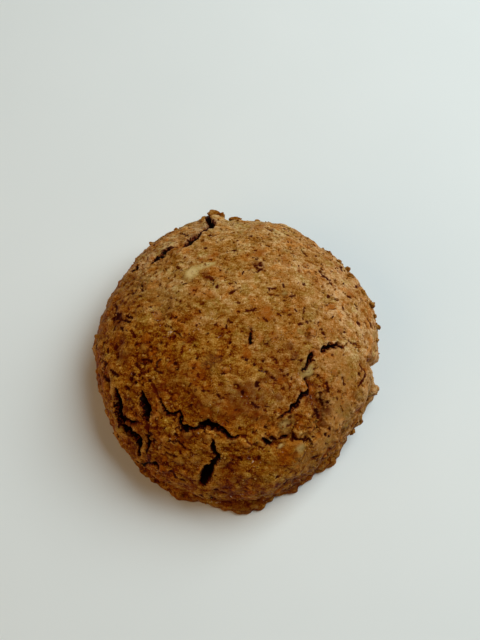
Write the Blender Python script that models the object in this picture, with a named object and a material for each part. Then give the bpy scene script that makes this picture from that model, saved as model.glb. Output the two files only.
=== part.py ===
"""Chocolate cookie: one domed drop cookie on a thin foot, with a crust that split as it rose.

Blender 4.5, metres, +Z up. The origin is on the table, under the middle of the cookie.
-Y is the front, where the crust has split furthest and the foot shows below the dome.
"""

import math

import bmesh
import bpy
import numpy as np
from mathutils import Vector, noise

MM = 0.001

# --- Driving dimensions -------------------------------------------------------------------------
DOME_RADIUS = 37.2 * MM          # across the widest level, side to side
LENGTH_RATIO = 1.03              # front to back over side to side
CROWN_HEIGHT = 29.5 * MM         # table to the top of the dome
WAIST_HEIGHT = 9.0 * MM          # level at which the dome is widest
TUCK_DEPTH = 16.0 * MM           # how far below the waist the dome would close
DOME_POWER = 2.12                # 2 is an ellipse, more is squarer
FOOT_RADIUS = 37.1 * MM          # the thin foot that spread on the tray
FOOT_LEVEL = 0.9 * MM            # level at which the foot is widest
FOOT_HALF_THICKNESS = 4.0 * MM
FOOT_POWER = 3.6
AXIS = (-0.64 * MM, 0.74 * MM)   # the dome's axis, so that the whole is centred on the origin
HEART_HEIGHT = 10.0 * MM         # every ray that shapes the crust starts at this level of the axis

# --- Mesh of the crust --------------------------------------------------------------------------
SEGMENTS = 84
RINGS = 46
UNDERSIDE_CROWDING = 0.75        # rings of the lower half are crowded up towards the foot
SHARP_ANGLE = math.radians(48)
HALVINGS = 24                    # steps that find the crust along a ray
TABLE_TOLERANCE = 0.0001 * MM    # a point this low lies in the underside

# --- Outline: (direction in degrees from +X, half width in degrees, reach) ---------------------
DOME_LOBES = (
    (322.0, 40.0, -1.6 * MM),    # flatter front right
    (205.0, 34.0, -0.8 * MM),    # drawn in over the crevice
    (104.0, 15.0, 1.2 * MM),     # lip of the back crack
    (122.0, 16.0, 0.8 * MM),
    (66.0, 16.0, 1.0 * MM),
    (20.0, 44.0, 1.0 * MM),
)
FOOT_LOBES = (
    (273.0, 11.0, 3.0 * MM),     # tongue at the front
    (244.0, 24.0, 1.9 * MM),     # front left spread
    (349.0, 8.0, 2.4 * MM),      # knob on the right
    (359.0, 5.0, -2.8 * MM),     # bite between the knob and the dome
    (311.0, 8.0, 1.3 * MM),      # crumb on the front right edge
    (322.0, 30.0, -1.7 * MM),
    (287.0, 6.0, -1.2 * MM),     # gap beside the tongue
    (98.0, 7.0, 1.6 * MM),       # flap at the back
    (25.0, 24.0, 0.6 * MM),
)

# --- Lumps and hollows of the dome: (point near the crust, radius, height) ---------------------
SWELLS = (
    ((-4.0, -17.0, 27.0), 14.0 * MM, 0.9 * MM),    # brow behind the front crack
    ((16.0, -21.0, 22.0), 5.5 * MM, 1.0 * MM),     # lump with a dent round it
    ((4.0, -33.0, 13.0), 10.0 * MM, 0.9 * MM),     # crust that slid down below the front crack
    ((-24.0, -24.0, 13.0), 7.0 * MM, -1.0 * MM),   # hollow beside the crevice
    ((-31.0, -8.0, 16.0), 8.0 * MM, 0.7 * MM),
    ((30.0, -12.0, 15.0), 8.0 * MM, 0.7 * MM),
    ((-16.0, 31.0, 14.0), 7.0 * MM, 0.8 * MM),     # crust pushed up behind the back crack
    ((10.0, 12.0, 29.0), 16.0 * MM, 0.5 * MM),
)
ROLL_SIZE = 15.0 * MM            # broad unevenness of the dough
ROLL_HEIGHT = 0.9 * MM
CRAG_SIZE = 5.0 * MM             # small unevenness of the crust
CRAG_HEIGHT = 0.7 * MM
FOOT_RAGGED_SIZE = 6.0 * MM
FOOT_RAGGED_REACH = 0.7 * MM

# --- Cracks: name -> (half width, depth, points near the crust in millimetres) -----------------
CRACKS = {
    "front": (0.60 * MM, 3.2 * MM, (
        (-21.0, -13.1, 24.6), (-19.2, -17.0, 23.9), (-16.7, -20.0, 23.7), (-13.8, -21.4, 23.3),
        (-13.2, -24.2, 23.3), (-9.3, -24.3, 24.5), (-7.6, -23.3, 24.7), (-3.3, -24.7, 24.3),
        (-0.7, -26.4, 24.1), (3.2, -27.7, 22.6), (7.4, -28.3, 22.2))),
    "front_down": (1.05 * MM, 3.8 * MM, (
        (-5.9, -27.5, 23.7), (-5.2, -29.0, 21.7), (-4.4, -30.6, 21.2), (-6.3, -31.8, 17.8),
        (-8.3, -34.1, 15.2))),
    "left_slash": (0.65 * MM, 3.0 * MM, (
        (-23.8, -15.4, 22.9), (-23.0, -18.2, 22.2), (-22.3, -21.2, 21.5))),
    "left_crevice": (1.3 * MM, 4.6 * MM, (
        (-30.6, -12.8, 19.4), (-30.6, -17.0, 17.2), (-28.8, -20.4, 16.5), (-26.0, -23.7, 16.4),
        (-22.0, -26.6, 17.6))),
    "right": (0.55 * MM, 2.8 * MM, (
        (20.3, -4.9, 26.1), (22.6, -3.6, 25.5), (26.0, -2.8, 24.1), (27.6, -1.4, 23.3),
        (30.6, -2.9, 20.5))),
    "middle": (0.70 * MM, 2.8 * MM, (
        (17.3, -13.6, 25.3), (15.6, -16.7, 25.2), (13.2, -19.7, 25.1))),
    "middle_pit": (0.9 * MM, 2.6 * MM, (
        (17.9, -6.0, 26.5), (17.0, -8.2, 26.4), (15.8, -10.4, 26.5))),
    "back": (0.90 * MM, 3.4 * MM, (
        (-4.4, 38.6, 12.6), (-5.9, 35.7, 18.0), (-8.4, 30.9, 22.2), (-10.2, 28.8, 23.4),
        (-12.8, 26.2, 23.8), (-14.2, 24.2, 24.2))),
    "back_left": (0.42 * MM, 2.0 * MM, (
        (-15.9, 25.4, 23.1), (-19.0, 24.2, 22.3), (-22.2, 21.6, 21.4), (-27.1, 20.9, 18.7))),
}
CUT_LIFT = 2.0 * MM              # a cutter's blade starts this far above the crust
CRACK_STEP = 1.6 * MM            # spacing of a crack's kinks
CRACK_ZIGZAG = 0.76 * MM         # how far the kinks stray from its line
CRACK_UNEVENNESS = 0.45          # how far its width varies, as a part of its half width
TIP_WIDTH = 0.15                 # a crack's width at its ends, as a part of its full width
TIP_BLUNTNESS = 0.6              # below 1, a crack keeps its width until near its ends
KINK_STRIDE = 1.7                # step between neighbouring samples of the noise along a crack
CRACK_STRIDE = 9.1               # step between the noise of one crack and the next

HEART = Vector((*AXIS, HEART_HEIGHT))

CRUST_COLOUR = (0.25, 0.115, 0.032, 1.0)
CRUST_ROUGHNESS = 0.78


def hump(distance, reach):
    """One at the middle, falling smoothly to nothing at the reach."""
    inside = np.clip(1.0 - (distance / reach) ** 2, 0.0, 1.0)
    return inside ** 2


def outline(angle, radius, lobes):
    """Radius of an outline at plan angles in degrees, with its lobes added."""
    total = np.full_like(angle, radius)
    for direction, half_width, reach in lobes:
        off = (angle - direction + 180.0) % 360.0 - 180.0
        total += reach * hump(off, half_width)
    return total


def ragged(points, size, seed):
    """Smooth noise between -1 and 1 at each point."""
    offset = Vector((seed * 7.3, seed * 3.1, seed * 5.7))
    return np.array([noise.noise(Vector(point) / size + offset) for point in points])


def inside_dome(points, radius):
    """Whether points lie in the dome, which is widest at the waist and tucks in below it."""
    rise = points[:, 2] - WAIST_HEIGHT
    half_height = np.where(rise > 0.0, CROWN_HEIGHT - WAIST_HEIGHT, TUCK_DEPTH)
    plan = np.hypot(points[:, 0], points[:, 1] / LENGTH_RATIO) / radius
    return plan ** DOME_POWER + np.abs(rise / half_height) ** DOME_POWER < 1.0


def inside_foot(points, radius):
    """Whether points lie in the foot, a blunt-edged disc that the table cuts."""
    rise = np.abs(points[:, 2] - FOOT_LEVEL) / FOOT_HALF_THICKNESS
    plan = np.hypot(points[:, 0], points[:, 1] / LENGTH_RATIO) / radius
    return plan ** FOOT_POWER + rise ** FOOT_POWER < 1.0


def reach_of_rays(rays):
    """Distance from the heart to the smooth crust along each ray, by halving."""
    heart = np.array((0.0, 0.0, HEART_HEIGHT))
    angle = np.degrees(np.arctan2(rays[:, 1], rays[:, 0]))
    dome_radius = outline(angle, DOME_RADIUS, DOME_LOBES)
    foot_radius = outline(angle, FOOT_RADIUS, FOOT_LOBES)
    rim = rays * (FOOT_RADIUS / np.maximum(np.hypot(rays[:, 0], rays[:, 1]), 0.05))[:, None]
    foot_radius += FOOT_RAGGED_REACH * ragged(rim, FOOT_RAGGED_SIZE, seed=4)
    near = np.zeros(len(rays))
    far = np.full(len(rays), 2.0 * DOME_RADIUS)
    for _ in range(HALVINGS):
        middle = (near + far) / 2.0
        points = heart + rays * middle[:, None]
        solid = inside_dome(points, dome_radius) | inside_foot(points, foot_radius)
        near = np.where(solid, middle, near)
        far = np.where(solid, far, middle)
    return near


def shaped(rays):
    """Points of the uneven crust along unit rays from the heart, cut flat by the table."""
    heart = np.array((0.0, 0.0, HEART_HEIGHT))
    axis = np.array((*AXIS, 0.0))
    reach = reach_of_rays(rays)
    smooth = heart + rays * reach[:, None]
    swell = np.zeros(len(rays))
    for place, radius, height in SWELLS:
        distance = np.linalg.norm(smooth + axis - np.array(place) * MM, axis=1)
        swell += height * hump(distance, radius)
    swell += ROLL_HEIGHT * ragged(smooth, ROLL_SIZE, seed=1)
    swell += CRAG_HEIGHT * ragged(smooth, CRAG_SIZE, seed=2)
    points = heart + rays * (reach + swell)[:, None]
    points[:, 2] = np.maximum(points[:, 2], 0.0)
    return points + axis


def on_crust(place):
    """The point of the crust in the direction of a place given in millimetres."""
    ray = (Vector(place) * MM - HEART).normalized()
    return Vector(shaped(np.array([ray]))[0])


def new_object(name, mesh, collection):
    thing = bpy.data.objects.new(name, mesh)
    collection.objects.link(thing)
    return thing


def new_collection(name):
    collection = bpy.data.collections.new(name)
    bpy.context.scene.collection.children.link(collection)
    return collection


def crust_material():
    material = bpy.data.materials.new("baked_crust")
    material.use_nodes = True
    shader = material.node_tree.nodes["Principled BSDF"]
    shader.inputs["Base Color"].default_value = CRUST_COLOUR
    shader.inputs["Roughness"].default_value = CRUST_ROUGHNESS
    shader.inputs["Metallic"].default_value = 0.0
    return material


def crowd_rings(vertex):
    """Ray of a sphere's point, with the rings of its lower half crowded towards the foot."""
    plan = math.atan2(vertex.y, vertex.x)
    climb = math.asin(max(-1.0, min(1.0, vertex.z)))
    if climb < 0.0:
        share = -climb / (math.pi / 2.0)
        even = (1.0 - UNDERSIDE_CROWDING) * share
        climb = -(math.pi / 2.0) * (even + UNDERSIDE_CROWDING * share ** 3)
    return (math.cos(climb) * math.cos(plan), math.cos(climb) * math.sin(plan), math.sin(climb))


def make_cookie(collection):
    """A sphere whose points are moved out or in to the crust, with one flat face below."""
    bm = bmesh.new()
    bmesh.ops.create_uvsphere(bm, u_segments=SEGMENTS, v_segments=RINGS, radius=1.0)
    rays = np.array([crowd_rings(vertex.co) for vertex in bm.verts])
    for vertex, point in zip(bm.verts, shaped(rays)):
        vertex.co = Vector(point)
    flat = [face for face in bm.faces if max(vertex.co.z for vertex in face.verts) < TABLE_TOLERANCE]
    bmesh.ops.dissolve_faces(bm, faces=flat, use_verts=True)
    bmesh.ops.recalc_face_normals(bm, faces=bm.faces)
    mesh = bpy.data.meshes.new("cookie")
    bm.to_mesh(mesh)
    bm.free()
    mesh.materials.append(crust_material())
    mesh.shade_smooth()
    mesh.set_sharp_from_angle(angle=SHARP_ANGLE)
    return new_object("cookie", mesh, collection)


def crack_line(points, seed):
    """Evenly spaced points along a crack, each strayed a little sideways."""
    corners = [on_crust(point) for point in points]
    line = []
    for start, end in zip(corners, corners[1:]):
        steps = max(1, round((end - start).length / CRACK_STEP))
        line += [start.lerp(end, step / steps) for step in range(steps)]
    line.append(corners[-1])
    for index in range(1, len(line) - 1):
        along = (line[index + 1] - line[index - 1]).normalized()
        side = along.cross(line[index] - HEART).normalized()
        stray = noise.noise(Vector((index * KINK_STRIDE, seed * CRACK_STRIDE, 0.4)))
        line[index] = line[index] + side * stray * CRACK_ZIGZAG
    return line


def make_blade(name, half_width, depth, points, seed, collection):
    """A wedge lofted along a crack: wide above the crust, sharp at the crack's bottom."""
    line = crack_line(points, seed)
    bm = bmesh.new()
    sections = []
    for index, point in enumerate(line):
        before = line[max(0, index - 1)]
        after = line[min(len(line) - 1, index + 1)]
        outward = (point - HEART).normalized()
        side = (after - before).cross(outward).normalized()
        share = index / (len(line) - 1)
        swell = TIP_WIDTH + (1.0 - TIP_WIDTH) * math.sin(math.pi * share) ** TIP_BLUNTNESS
        uneven = noise.noise(Vector((index * KINK_STRIDE, seed * CRACK_STRIDE, 1.9)))
        width = half_width * swell * (1.0 + CRACK_UNEVENNESS * uneven)
        deep = depth * swell
        top_width = width * (deep + CUT_LIFT) / deep
        top = point + outward * CUT_LIFT
        sections.append((
            bm.verts.new(top - side * top_width),
            bm.verts.new(point - outward * deep),
            bm.verts.new(top + side * top_width),
        ))
    for first, second in zip(sections, sections[1:]):
        for corner in range(3):
            following = (corner + 1) % 3
            bm.faces.new((first[corner], first[following], second[following], second[corner]))
    bm.faces.new(reversed(sections[0]))
    bm.faces.new(sections[-1])
    bmesh.ops.recalc_face_normals(bm, faces=bm.faces)
    bmesh.ops.triangulate(bm, faces=bm.faces)
    mesh = bpy.data.meshes.new(name)
    bm.to_mesh(mesh)
    bm.free()
    blade = new_object(name, mesh, collection)
    blade.hide_render = True
    blade.display_type = "WIRE"
    return blade


def cut(thing, blade):
    modifier = thing.modifiers.new(blade.name, "BOOLEAN")
    modifier.operation = "DIFFERENCE"
    modifier.solver = "EXACT"
    modifier.object = blade


def main():
    for thing in list(bpy.data.objects):
        bpy.data.objects.remove(thing, do_unlink=True)
    parts = new_collection("chocolate_cookie")
    cutters = new_collection("crack_cutters")
    cookie = make_cookie(parts)
    for seed, (name, (half_width, depth, points)) in enumerate(CRACKS.items(), start=1):
        cut(cookie, make_blade("crack_" + name, half_width, depth, points, seed, cutters))


main()
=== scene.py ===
"""Looks of a chocolate cookie: a domed drop cookie with a cracked, craggy crust.

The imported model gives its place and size. Lengths are in metres, written in millimetres times
MM; places in the tables are in millimetres. -Y is the cracked front, +Z is up.
"""

import math
import random

import bmesh
import bpy
import numpy as np
from mathutils import Euler, Matrix, Vector, kdtree, noise
from mathutils.bvhtree import BVHTree


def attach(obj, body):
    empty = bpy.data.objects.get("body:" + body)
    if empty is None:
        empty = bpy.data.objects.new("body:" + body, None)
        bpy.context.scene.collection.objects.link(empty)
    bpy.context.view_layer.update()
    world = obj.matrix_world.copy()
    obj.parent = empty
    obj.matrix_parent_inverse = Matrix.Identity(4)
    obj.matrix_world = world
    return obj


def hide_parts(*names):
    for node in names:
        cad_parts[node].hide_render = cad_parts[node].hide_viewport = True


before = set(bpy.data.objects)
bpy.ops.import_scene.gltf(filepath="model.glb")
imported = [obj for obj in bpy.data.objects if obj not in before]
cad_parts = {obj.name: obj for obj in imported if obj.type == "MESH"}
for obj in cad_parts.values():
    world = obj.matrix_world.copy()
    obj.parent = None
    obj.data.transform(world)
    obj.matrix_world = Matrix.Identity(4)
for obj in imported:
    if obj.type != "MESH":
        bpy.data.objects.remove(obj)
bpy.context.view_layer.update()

MM = 0.001

# --- Body of the cookie ---
HEART = Vector((-0.64, 0.74, 10.0)) * MM  # inside the dome; every point of the crust is seen from it
WALL_CUTS = 95  # rows cut into the dough's sides
TOP_CUTS = (3, 39)  # cuts across its top and along its sides: coarse, then fine
ALONG = 0.99  # how well an edge lines up with the axis it is cut along
DOUGH_HALF_SIZE = Vector((38.0, 40.0, 20.0)) * MM
DOUGH_BELOW = 16.0 * MM  # half height of the part below the heart
CUT_DEPTH = 0.12 * MM  # what lies this far under its surroundings is a cut
CUT_LOWEST = 9.0 * MM  # the frame's cuts all lie above this
CUT_SHARE = 0.02  # share of cut points around a point from which it is filled too
AROUND_ROUNDS = 70  # how far a point's surroundings reach, in rounds of averaging
WIDENING_ROUNDS = 10
FILLING_ROUNDS = 500
CRACK_SOFTENING_ROUNDS = 2  # takes the comb of the grid off the cracks' walls
SOFTENING_ROUNDS = 40  # takes the facets off the frame's surface

RIM_EASE = (0.05 * MM, 1.5 * MM)  # heights over which the crust comes free of its flat rim
RELIEF_EASE = (0.1 * MM, 1.6 * MM)  # heights over which its relief sets in

# Seeds of the noises and of the chips that make the small pieces
SEEDS = {
    "browning_and_shade": 3, "layers": 7, "foot": 8, "layer waves": 9, "layer breaks": 12, "crack kinks": 20,
    "mark kinks": 31, "swellings": 33, "patches": 41, "nuts": 45, "lobes": 46, "flakes": 51,
    "flake edges": 61, "crumb_chip": 70, "calm": 71, "grain_chip": 80, "fleck_chip": 90,
}

# --- Relief of the crust: (size, height) ---
CRAGS = (5.0 * MM, 2.1 * MM)
LUMPS = (2.3 * MM, -0.40 * MM)
WRINKLES = (1.6 * MM, 0.16 * MM)
CRUMBLES = (0.95 * MM, 0.34 * MM)
FINE_GRAIN = (0.5 * MM, 0.20 * MM)
# Flat flakes with ragged edges: (size, height, size of the raggedness)
SCALES = ((3.4 * MM, 0.24 * MM, 0.9 * MM), (1.7 * MM, 0.15 * MM, 0.6 * MM))
SCALE_EDGE = (-0.04, 0.07)  # values of the noise between which a flake's edge steps up
SCALE_RAGGED = 0.35
CALM_SIZE = 7.0 * MM  # how far the crust stays smooth or rough
CALM_EDGE = (-0.35, 0.25)
CALM_FOOT = (2.0 * MM, 9.0 * MM)  # heights over which the foot's relief grows to the dome's
STREAK_TURN = math.radians(-30.0)  # the crust's fine streaks run right and a little towards the front
STREAK_STRETCH = 2.4
LAYER_THICKNESS = 2.4 * MM  # layers that show in the side wall
LAYER_LENGTH = 12.0 * MM
LAYER_DEPTH = 0.60 * MM
LAYER_WANDER = 1.6  # how many layers their edges wander up and down
LAYER_HEIGHTS = (0.1 * MM, 1.0 * MM, 9.0 * MM, 15.0 * MM)  # where they set in and where they fade
LAYER_BREAKS = (-0.30, 0.35)
WALL_LEAN = (0.55, 0.9)  # how much the crust faces sideways where it begins to be a wall, and is one
FOOT_TOP = (2.5 * MM, 5.0 * MM)
FOOT_RADIUS = (30.0 * MM, 36.0 * MM)  # from where to where the foot turns ragged
FOOT_RAGGED_SIZE = 1.8 * MM
FOOT_RAGGED_DEPTH = 0.9 * MM
BROWN_AND_SHADE_WAY = (-0.50, -0.86)  # towards the browner, painted-shade front left, seen from above
BROWNING_REACH = 40.0 * MM
BROWNING_PATCH = 11.0 * MM
BROWNING_WANDER = 0.28
BROWNING_SPAN = (-0.75, 0.75)
# Painted shade by depth below the surroundings: name: (rounds of averaging, depth that counts as 1)
SHADED_HOLLOWS = {"hollow": (5, 0.22 * MM), "valley": (50, 0.7 * MM)}

# In the tables a place with two numbers is seen from above; with three it is the point of the
# crust in line with that point as seen from the heart.

# --- Cracks: name: (depth, lift of the lips, ((place, half width), ...)) ---
CRACKS = {
    "front": (3.4, 0.5, (
        (-19, -17, 0.14), (-18.5, -18, 0.22), (-17, -20.5, 0.34), (-15.5, -21, 0.32), (-14, -20.5, 0.5),
        (-13.5, -21.5, 0.38), (-14, -23, 0.4), (-13.5, -24, 0.7), (-12, -24.5, 0.78), (-10, -24.5, 0.3),
        (-8.5, -24, 0.82), (-7.5, -24, 0.98), (-6, -24.5, 0.68), (-4, -25, 0.56), (-3, -26, 0.42),
        (-1.5, -27, 0.32), (0, -26.5, 0.18))),
    "front_down": (4, 0.2, (
        (-6, -27.5, 0.28), (-6, -29, 0.6), (-5.5, -30, 0.28), (-4.5, -31, 0.55), (-5.5, -31.5, 0.45),
        (-6.5, -32.5, 0.75), (-7.5, -33.5, 1.2), (-8, -34.5, 1.45), (-9, -35.5, 0.6))),
    "left_slash": (3.4, 0.2, (
        (-23.5, -15, 0.4), (-23.5, -16.5, 0.65), (-23, -18.5, 1), (-22.5, -20, 1.2), (-22.5, -21, 1))),
    "left_crevice": (4.6, 0.5, (
        (-30, -13, 0.45), (-30, -15, 1.1), (-30, -16.5, 1.6), (-29.5, -18.5, 1.5), (-29, -20.5, 1.7),
        (-28, -22, 1.6), (-26.5, -23.5, 1.8), (-25, -24.5, 1.9), (-24.5, -25.5, 1.3), (-24.5, -27.5, 0.4))),
    "left_inner": (2.6, 0.1, (
        (-28, -19.5, 0.22), (-27.5, -20.5, 0.34), (-26, -21.5, 0.44), (-24.5, -21.5, 0.22))),
    "left_low": (2, 0.1, ((-22.5, -24.5, 0.2), (-22, -25, 0.3), (-22, -26.5, 0.34), (-22.5, -28, 0.22))),
    "left_edge": (1.6, 0.1, ((-36.5, 4, 14, 0.3), (-37, 2, 14, 0.55), (-36.5, 0.5, 14.5, 0.35))),
    "right": (2.8, 0.3, (
        (20.5, -5.5, 0.36), (21, -4.5, 0.5), (22, -4.5, 0.32), (22.5, -3.5, 0.46), (23.5, -4, 0.34),
        (24.5, -3, 0.28), (25.5, -4, 0.18))),
    "middle": (2.2, 0.25, (
        (17, -15, 0.2), (16.5, -16, 0.34), (15.5, -16.5, 0.6), (14.5, -17.5, 0.32), (14, -19, 0.32),
        (13, -19.5, 0.68), (12.5, -20.5, 0.22), (11, -21, 0.16), (9.5, -22, 0.14))),
    "middle_pit": (2.4, 0.2, (
        (18, -6.5, 0.5), (17.5, -7.5, 0.6), (17, -9, 0.26), (16.5, -10, 0.28), (15.5, -10.5, 0.2))),
    "middle_low": (1.2, 0, ((16.5, -12.5, 0.28), (17, -14, 0.3))),
    "back": (3.2, 0.4, (
        (-8.5, 36.5, 0.3), (-8, 35.5, 0.6), (-7.5, 34.5, 0.85), (-7, 33.5, 1), (-7.5, 32, 0.95),
        (-8.5, 31.5, 0.65), (-9, 30, 0.4), (-10, 29.5, 0.5), (-10.5, 28.5, 0.65), (-11.5, 27.5, 0.85),
        (-12.5, 26.5, 0.9), (-13, 25.5, 0.7), (-14, 24.5, 0.36))),
    "back_left": (1.8, 0.2, (
        (-16.5, 25, 0.25), (-18, 25, 0.6), (-19.5, 24.5, 0.85), (-20, 23, 0.75), (-21.5, 22, 0.3),
        (-22.5, 21, 0.22))),
    "back_leftmost": (1.2, 0.1, ((-27, 22.5, 0.22), (-27, 21, 0.4), (-28, 20.5, 0.24))),
    "top_slot": (1.2, 0.1, ((3, -1, 0.2), (3, -2.5, 0.3), (3, -4, 0.45), (3, -4.5, 0.45))),
    "front_hole": (1.6, 0.1, ((6, -27, 0.35), (7, -28, 0.52), (8, -28, 0.35))),
    "front_pit": (1.4, 0.1, ((10, -26.5, 0.22), (11.5, -26, 0.34))),
    "foot_crease": (1.3, 0.2, (
        (-15, -34.5, 5, 0.2), (-12.5, -35.5, 4.5, 0.4), (-9, -36.5, 4.5, 0.3), (-4, -37, 5, 0.24),
        (1, -37.5, 5.5, 0.3), (5, -37, 5, 0.38), (8, -36, 4.5, 0.35), (11, -34.5, 4, 0.42),
        (14, -33, 3.5, 0.35), (16, -31.5, 3.5, 0.2))),
    "foot_left": (1.2, 0.1, (
        (-26, -27, 9, 0.26), (-25.5, -28, 8.5, 0.38), (-23.5, -29, 9.5, 0.25), (-22, -30, 0.24),
        (-20.5, -30.5, 0.42), (-19.5, -31.5, 0.3))),
}
CRACK_KINKS = ((2.6 * MM, 0.26 * MM), (1.1 * MM, 0.34 * MM), (0.7 * MM, 0.20 * MM))  # size and reach
KINKED_WIDTH = 0.6 * MM  # half width of a crack whose kinks have that reach
KINK_LIMITS = (0.4, 1.2)
CRACK_WALL = (-0.10 * MM, 0.40 * MM)  # from where to where its steep side goes, inwards from the edge
CRACK_SHALLOWEST = 0.35  # of its depth, at a crack's thin ends
LIP_REACH = 2.0 * MM
EDGE_RANGE = 0.6 * MM  # distance from an edge that the stored masks reach to

# --- Dark marks in the crust: half width: places, or lines of places ---
BLACK_SPOTS = {
    0.22: ((12, -12), (-1, -5.5)),
    0.24: ((4.5, 19.5), (21.5, 20.5), (10, 9), (23, 10.5), (20.5, 0.5), (26.5, 0.5), (4, -10), (6, -9),
           (-3.5, -12.5), (-3, -0.5), (-2, -4.5)),
    0.25: ((-19, -3.5), (-15, -10.5), (-7.5, -2), (-8.5, 23.5), (-20, 13)),
    0.26: ((5.5, 18), (11.5, 7.5), (21.5, 11.5), (17, 2), (20, 2), (28, 9), (13, -5.5), (11, -12.5),
           (13, -13), (4.5, -28), (-8, -25.5)),
    0.28: ((-15.5, 3), (-21.5, -12.5), (-22.5, 28.5), (0, 3.5), (10.5, -11), (21.5, -24), (25.5, -23, 8),
           (9.5, -34.5), (-15, -25.5), (-25, -19.5)),
    0.3: ((-15.5, -9), (-26.5, -11.5), (16.5, 12.5), (22.5, -22.5), (30, -9), (5, -31), (6.5, -24.5),
          (19.5, -11.5)),
    0.32: ((-25.5, -3), (-26, -10.5)),
    0.35: ((-31.5, 3.5), (-33.5, -2), (-27, -17.5)),
    0.4: ((-31.5, 7.5), (-32, -14), (-1, 22.5), (32.5, -13, 6), (18, -21)),
    0.42: ((-5.5, -36.5, 12),),
    0.45: ((-30.5, 4.5), (5.5, 17.5), (30.5, 4.5), (-21.5, -24.5)),
    0.5: ((4.5, -15), (-21, -26)),
    0.55: ((-31, 6),),
}
BLACK_STROKES = {
    0.14: (((-19, 1.5), (-17, 0.5), (-14.5, -1.5), (-14, -2.5)),),
    0.18: (((-25.5, -7.5), (-25, -8.5)),),
    0.2: (((-24, -7), (-23, -7), (-21.5, -8)), ((7.5, 10.5), (7.5, 9.5), (8, 9)), ((8.5, 10.5), (9.5, 11)),
          ((-2, 9), (-0.5, 10))),
    0.22: (((-8.5, -16.5), (-7, -16.5)), ((-13, -16), (-12, -16.5)),
           ((-34.5, -4.5), (-33, -6), (-34.5, -6.5)), ((21, 18), (21.5, 16.5), (23.5, 15.5)),
           ((13, 8.5), (14, 9)), ((24, 9.5), (25, 9.5)), ((-2.5, 1.5), (-1.5, 0.5)), ((6, 2), (7, 1.5)),
           ((13, -8), (15.5, -8)), ((5, -11.5), (7, -12))),
    0.24: (((-20.5, -10), (-19, -11)), ((4, 18), (4.5, 16.5), (5, 15.5), (6, 16.5)),
           ((23.5, 14.5), (24.5, 13.5)), ((15, 1), (16, 1.5)), ((8, -8), (9, -8.5)), ((8, -13), (9, -13.5)),
           ((-5, -17.5), (-4, -18.5)), ((25.5, -11), (26, -11.5), (26, -12.5)),
           ((-17.5, -29), (-16.5, -29.5), (-15, -30)), ((-16.5, -26.5), (-14.5, -27), (-13, -28.5))),
    0.25: (((-30, 3), (-29, 1.5)), ((-32, 10.5), (-31, 8)), ((-25, 14), (-24.5, 12)),
           ((-15.5, 31.5), (-13.5, 29.5))),
    0.26: (((27, 22.5), (27, 20.5)), ((2, 4), (3, 4), (4, 4.5)), ((26.5, 8), (26.5, 7)),
           ((30.5, -6.5), (31, -7.5)), ((32, -7.5), (31.5, -9.5), (30, -12)),
           ((13, -24.5), (13.5, -26), (14, -26.5), (16, -26), (16.5, -25.5)),
           ((16, -26.5), (17.5, -26), (18, -27)), ((-16.5, -32.5), (-15, -34), (-13.5, -34.5))),
    0.28: (((-30.5, 5.5), (-29, 4.5), (-27.5, 3.5)), ((-34.5, 0.5), (-35, -0.5)), ((-32, -8), (-30, -10)),
           ((30, 9.5), (30.5, 8.5)), ((31, 16), (32.5, 18)), ((1, -8.5), (2, -9)),
           ((3, -19.5), (4.5, -20.5)), ((19, -23), (20, -23.5)), ((18.5, -29), (19.5, -28.5))),
    0.3: (((-32, 5), (-32, 6.5), (-31, 7), (-30, 6.5)), ((-28.5, 5.5), (-27, 4.5)),
          ((-34.5, -8), (-33, -10), (-32.5, -12)), ((8, -26.5), (9, -27)), ((28, 11.5), (29, 11.5)),
          ((33.5, 7), (34.5, 5.5))),
    0.34: (((21.5, -13), (22, -14.5)),),
    0.36: (((18.5, -19.5), (19, -20), (19.5, -21)),),
    0.38: (((1, -17), (1, -17.5)),),
}
RED_SPOTS = {
    0.26: ((-11, 9), (-4.5, 26)),
    0.3: ((-10.5, 0.5), (-2, -7.5), (5.5, -11), (2.5, -31)),
    0.34: ((-17, 3), (0, 6), (10, 3.5)),
    0.36: ((10, 29.5),),
    0.38: ((-6.5, 11.5),),
    0.45: ((29, -19, 6),),
    0.55: ((-31.5, -2), (8.5, 31)),
    0.6: ((-22, -23),),
}
RED_STROKES = {
    0.2: (((28.5, -2), (29.5, -1.5), (31, -2)), ((-17, 8.5), (-16, 8.5)), ((-9.5, 6), (-8.5, 6.5))),
    0.22: (((25.5, -3.5), (26.5, -3), (27.5, -1.5), (29, -2.5), (30, -2.5), (30.5, -3.5)),
           ((25.5, 0), (26, -1), (27.5, -1.5))),
    0.24: (((-15, 2), (-13.5, 1.5)), ((7, 24.5), (8.5, 24))),
    0.26: (((-22, 5), (-21, 5)), ((-28.5, 12.5), (-26.5, 12)), ((15.5, 18.5), (15.5, 16.5))),
    0.28: (((16, 25), (18, 23)),),
    0.3: (((2.5, -28), (4, -28.5), (6, -29)), ((-16, 18), (-14.5, 17)), ((16.5, 5.5), (16, 2.5))),
    0.34: (((0, -26.5), (1.5, -26.5), (2.5, -28)), ((-27, 1), (-26, -1)), ((20, -15.5), (21, -18))),
    0.36: (((-21, -13.5), (-20.5, -14.5), (-19, -17)), ((20.5, -20), (19.5, -22))),
    0.4: (((-1, -15), (0, -16)),),
    0.42: (((-8.5, 14), (-7.5, 14), (-6.5, 13)),),
}
SPOT_BROADENING = 1.35  # makes up for what the kinks eat of a mark's width
STROKE_BROADENING = 1.1
MARK_DEPTH = 0.30 * MM
MARK_EDGE = (-0.2 * MM, 0.25 * MM)  # over which a mark sinks in
MARK_KINK = (0.6 * MM, 0.22 * MM)  # size and reach of the kinks in a mark's outline
MARK_SEED = 11
MARKS_ABOVE = 2.0 * MM
STRAY_BLACK_MARKS = 45
STRAY_RED_MARKS = 400
STRAY_MARK_LENGTH = (0.1 * MM, 0.9 * MM)
STRAY_MARK_WIDTH = (0.15 * MM, 0.38 * MM)
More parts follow.
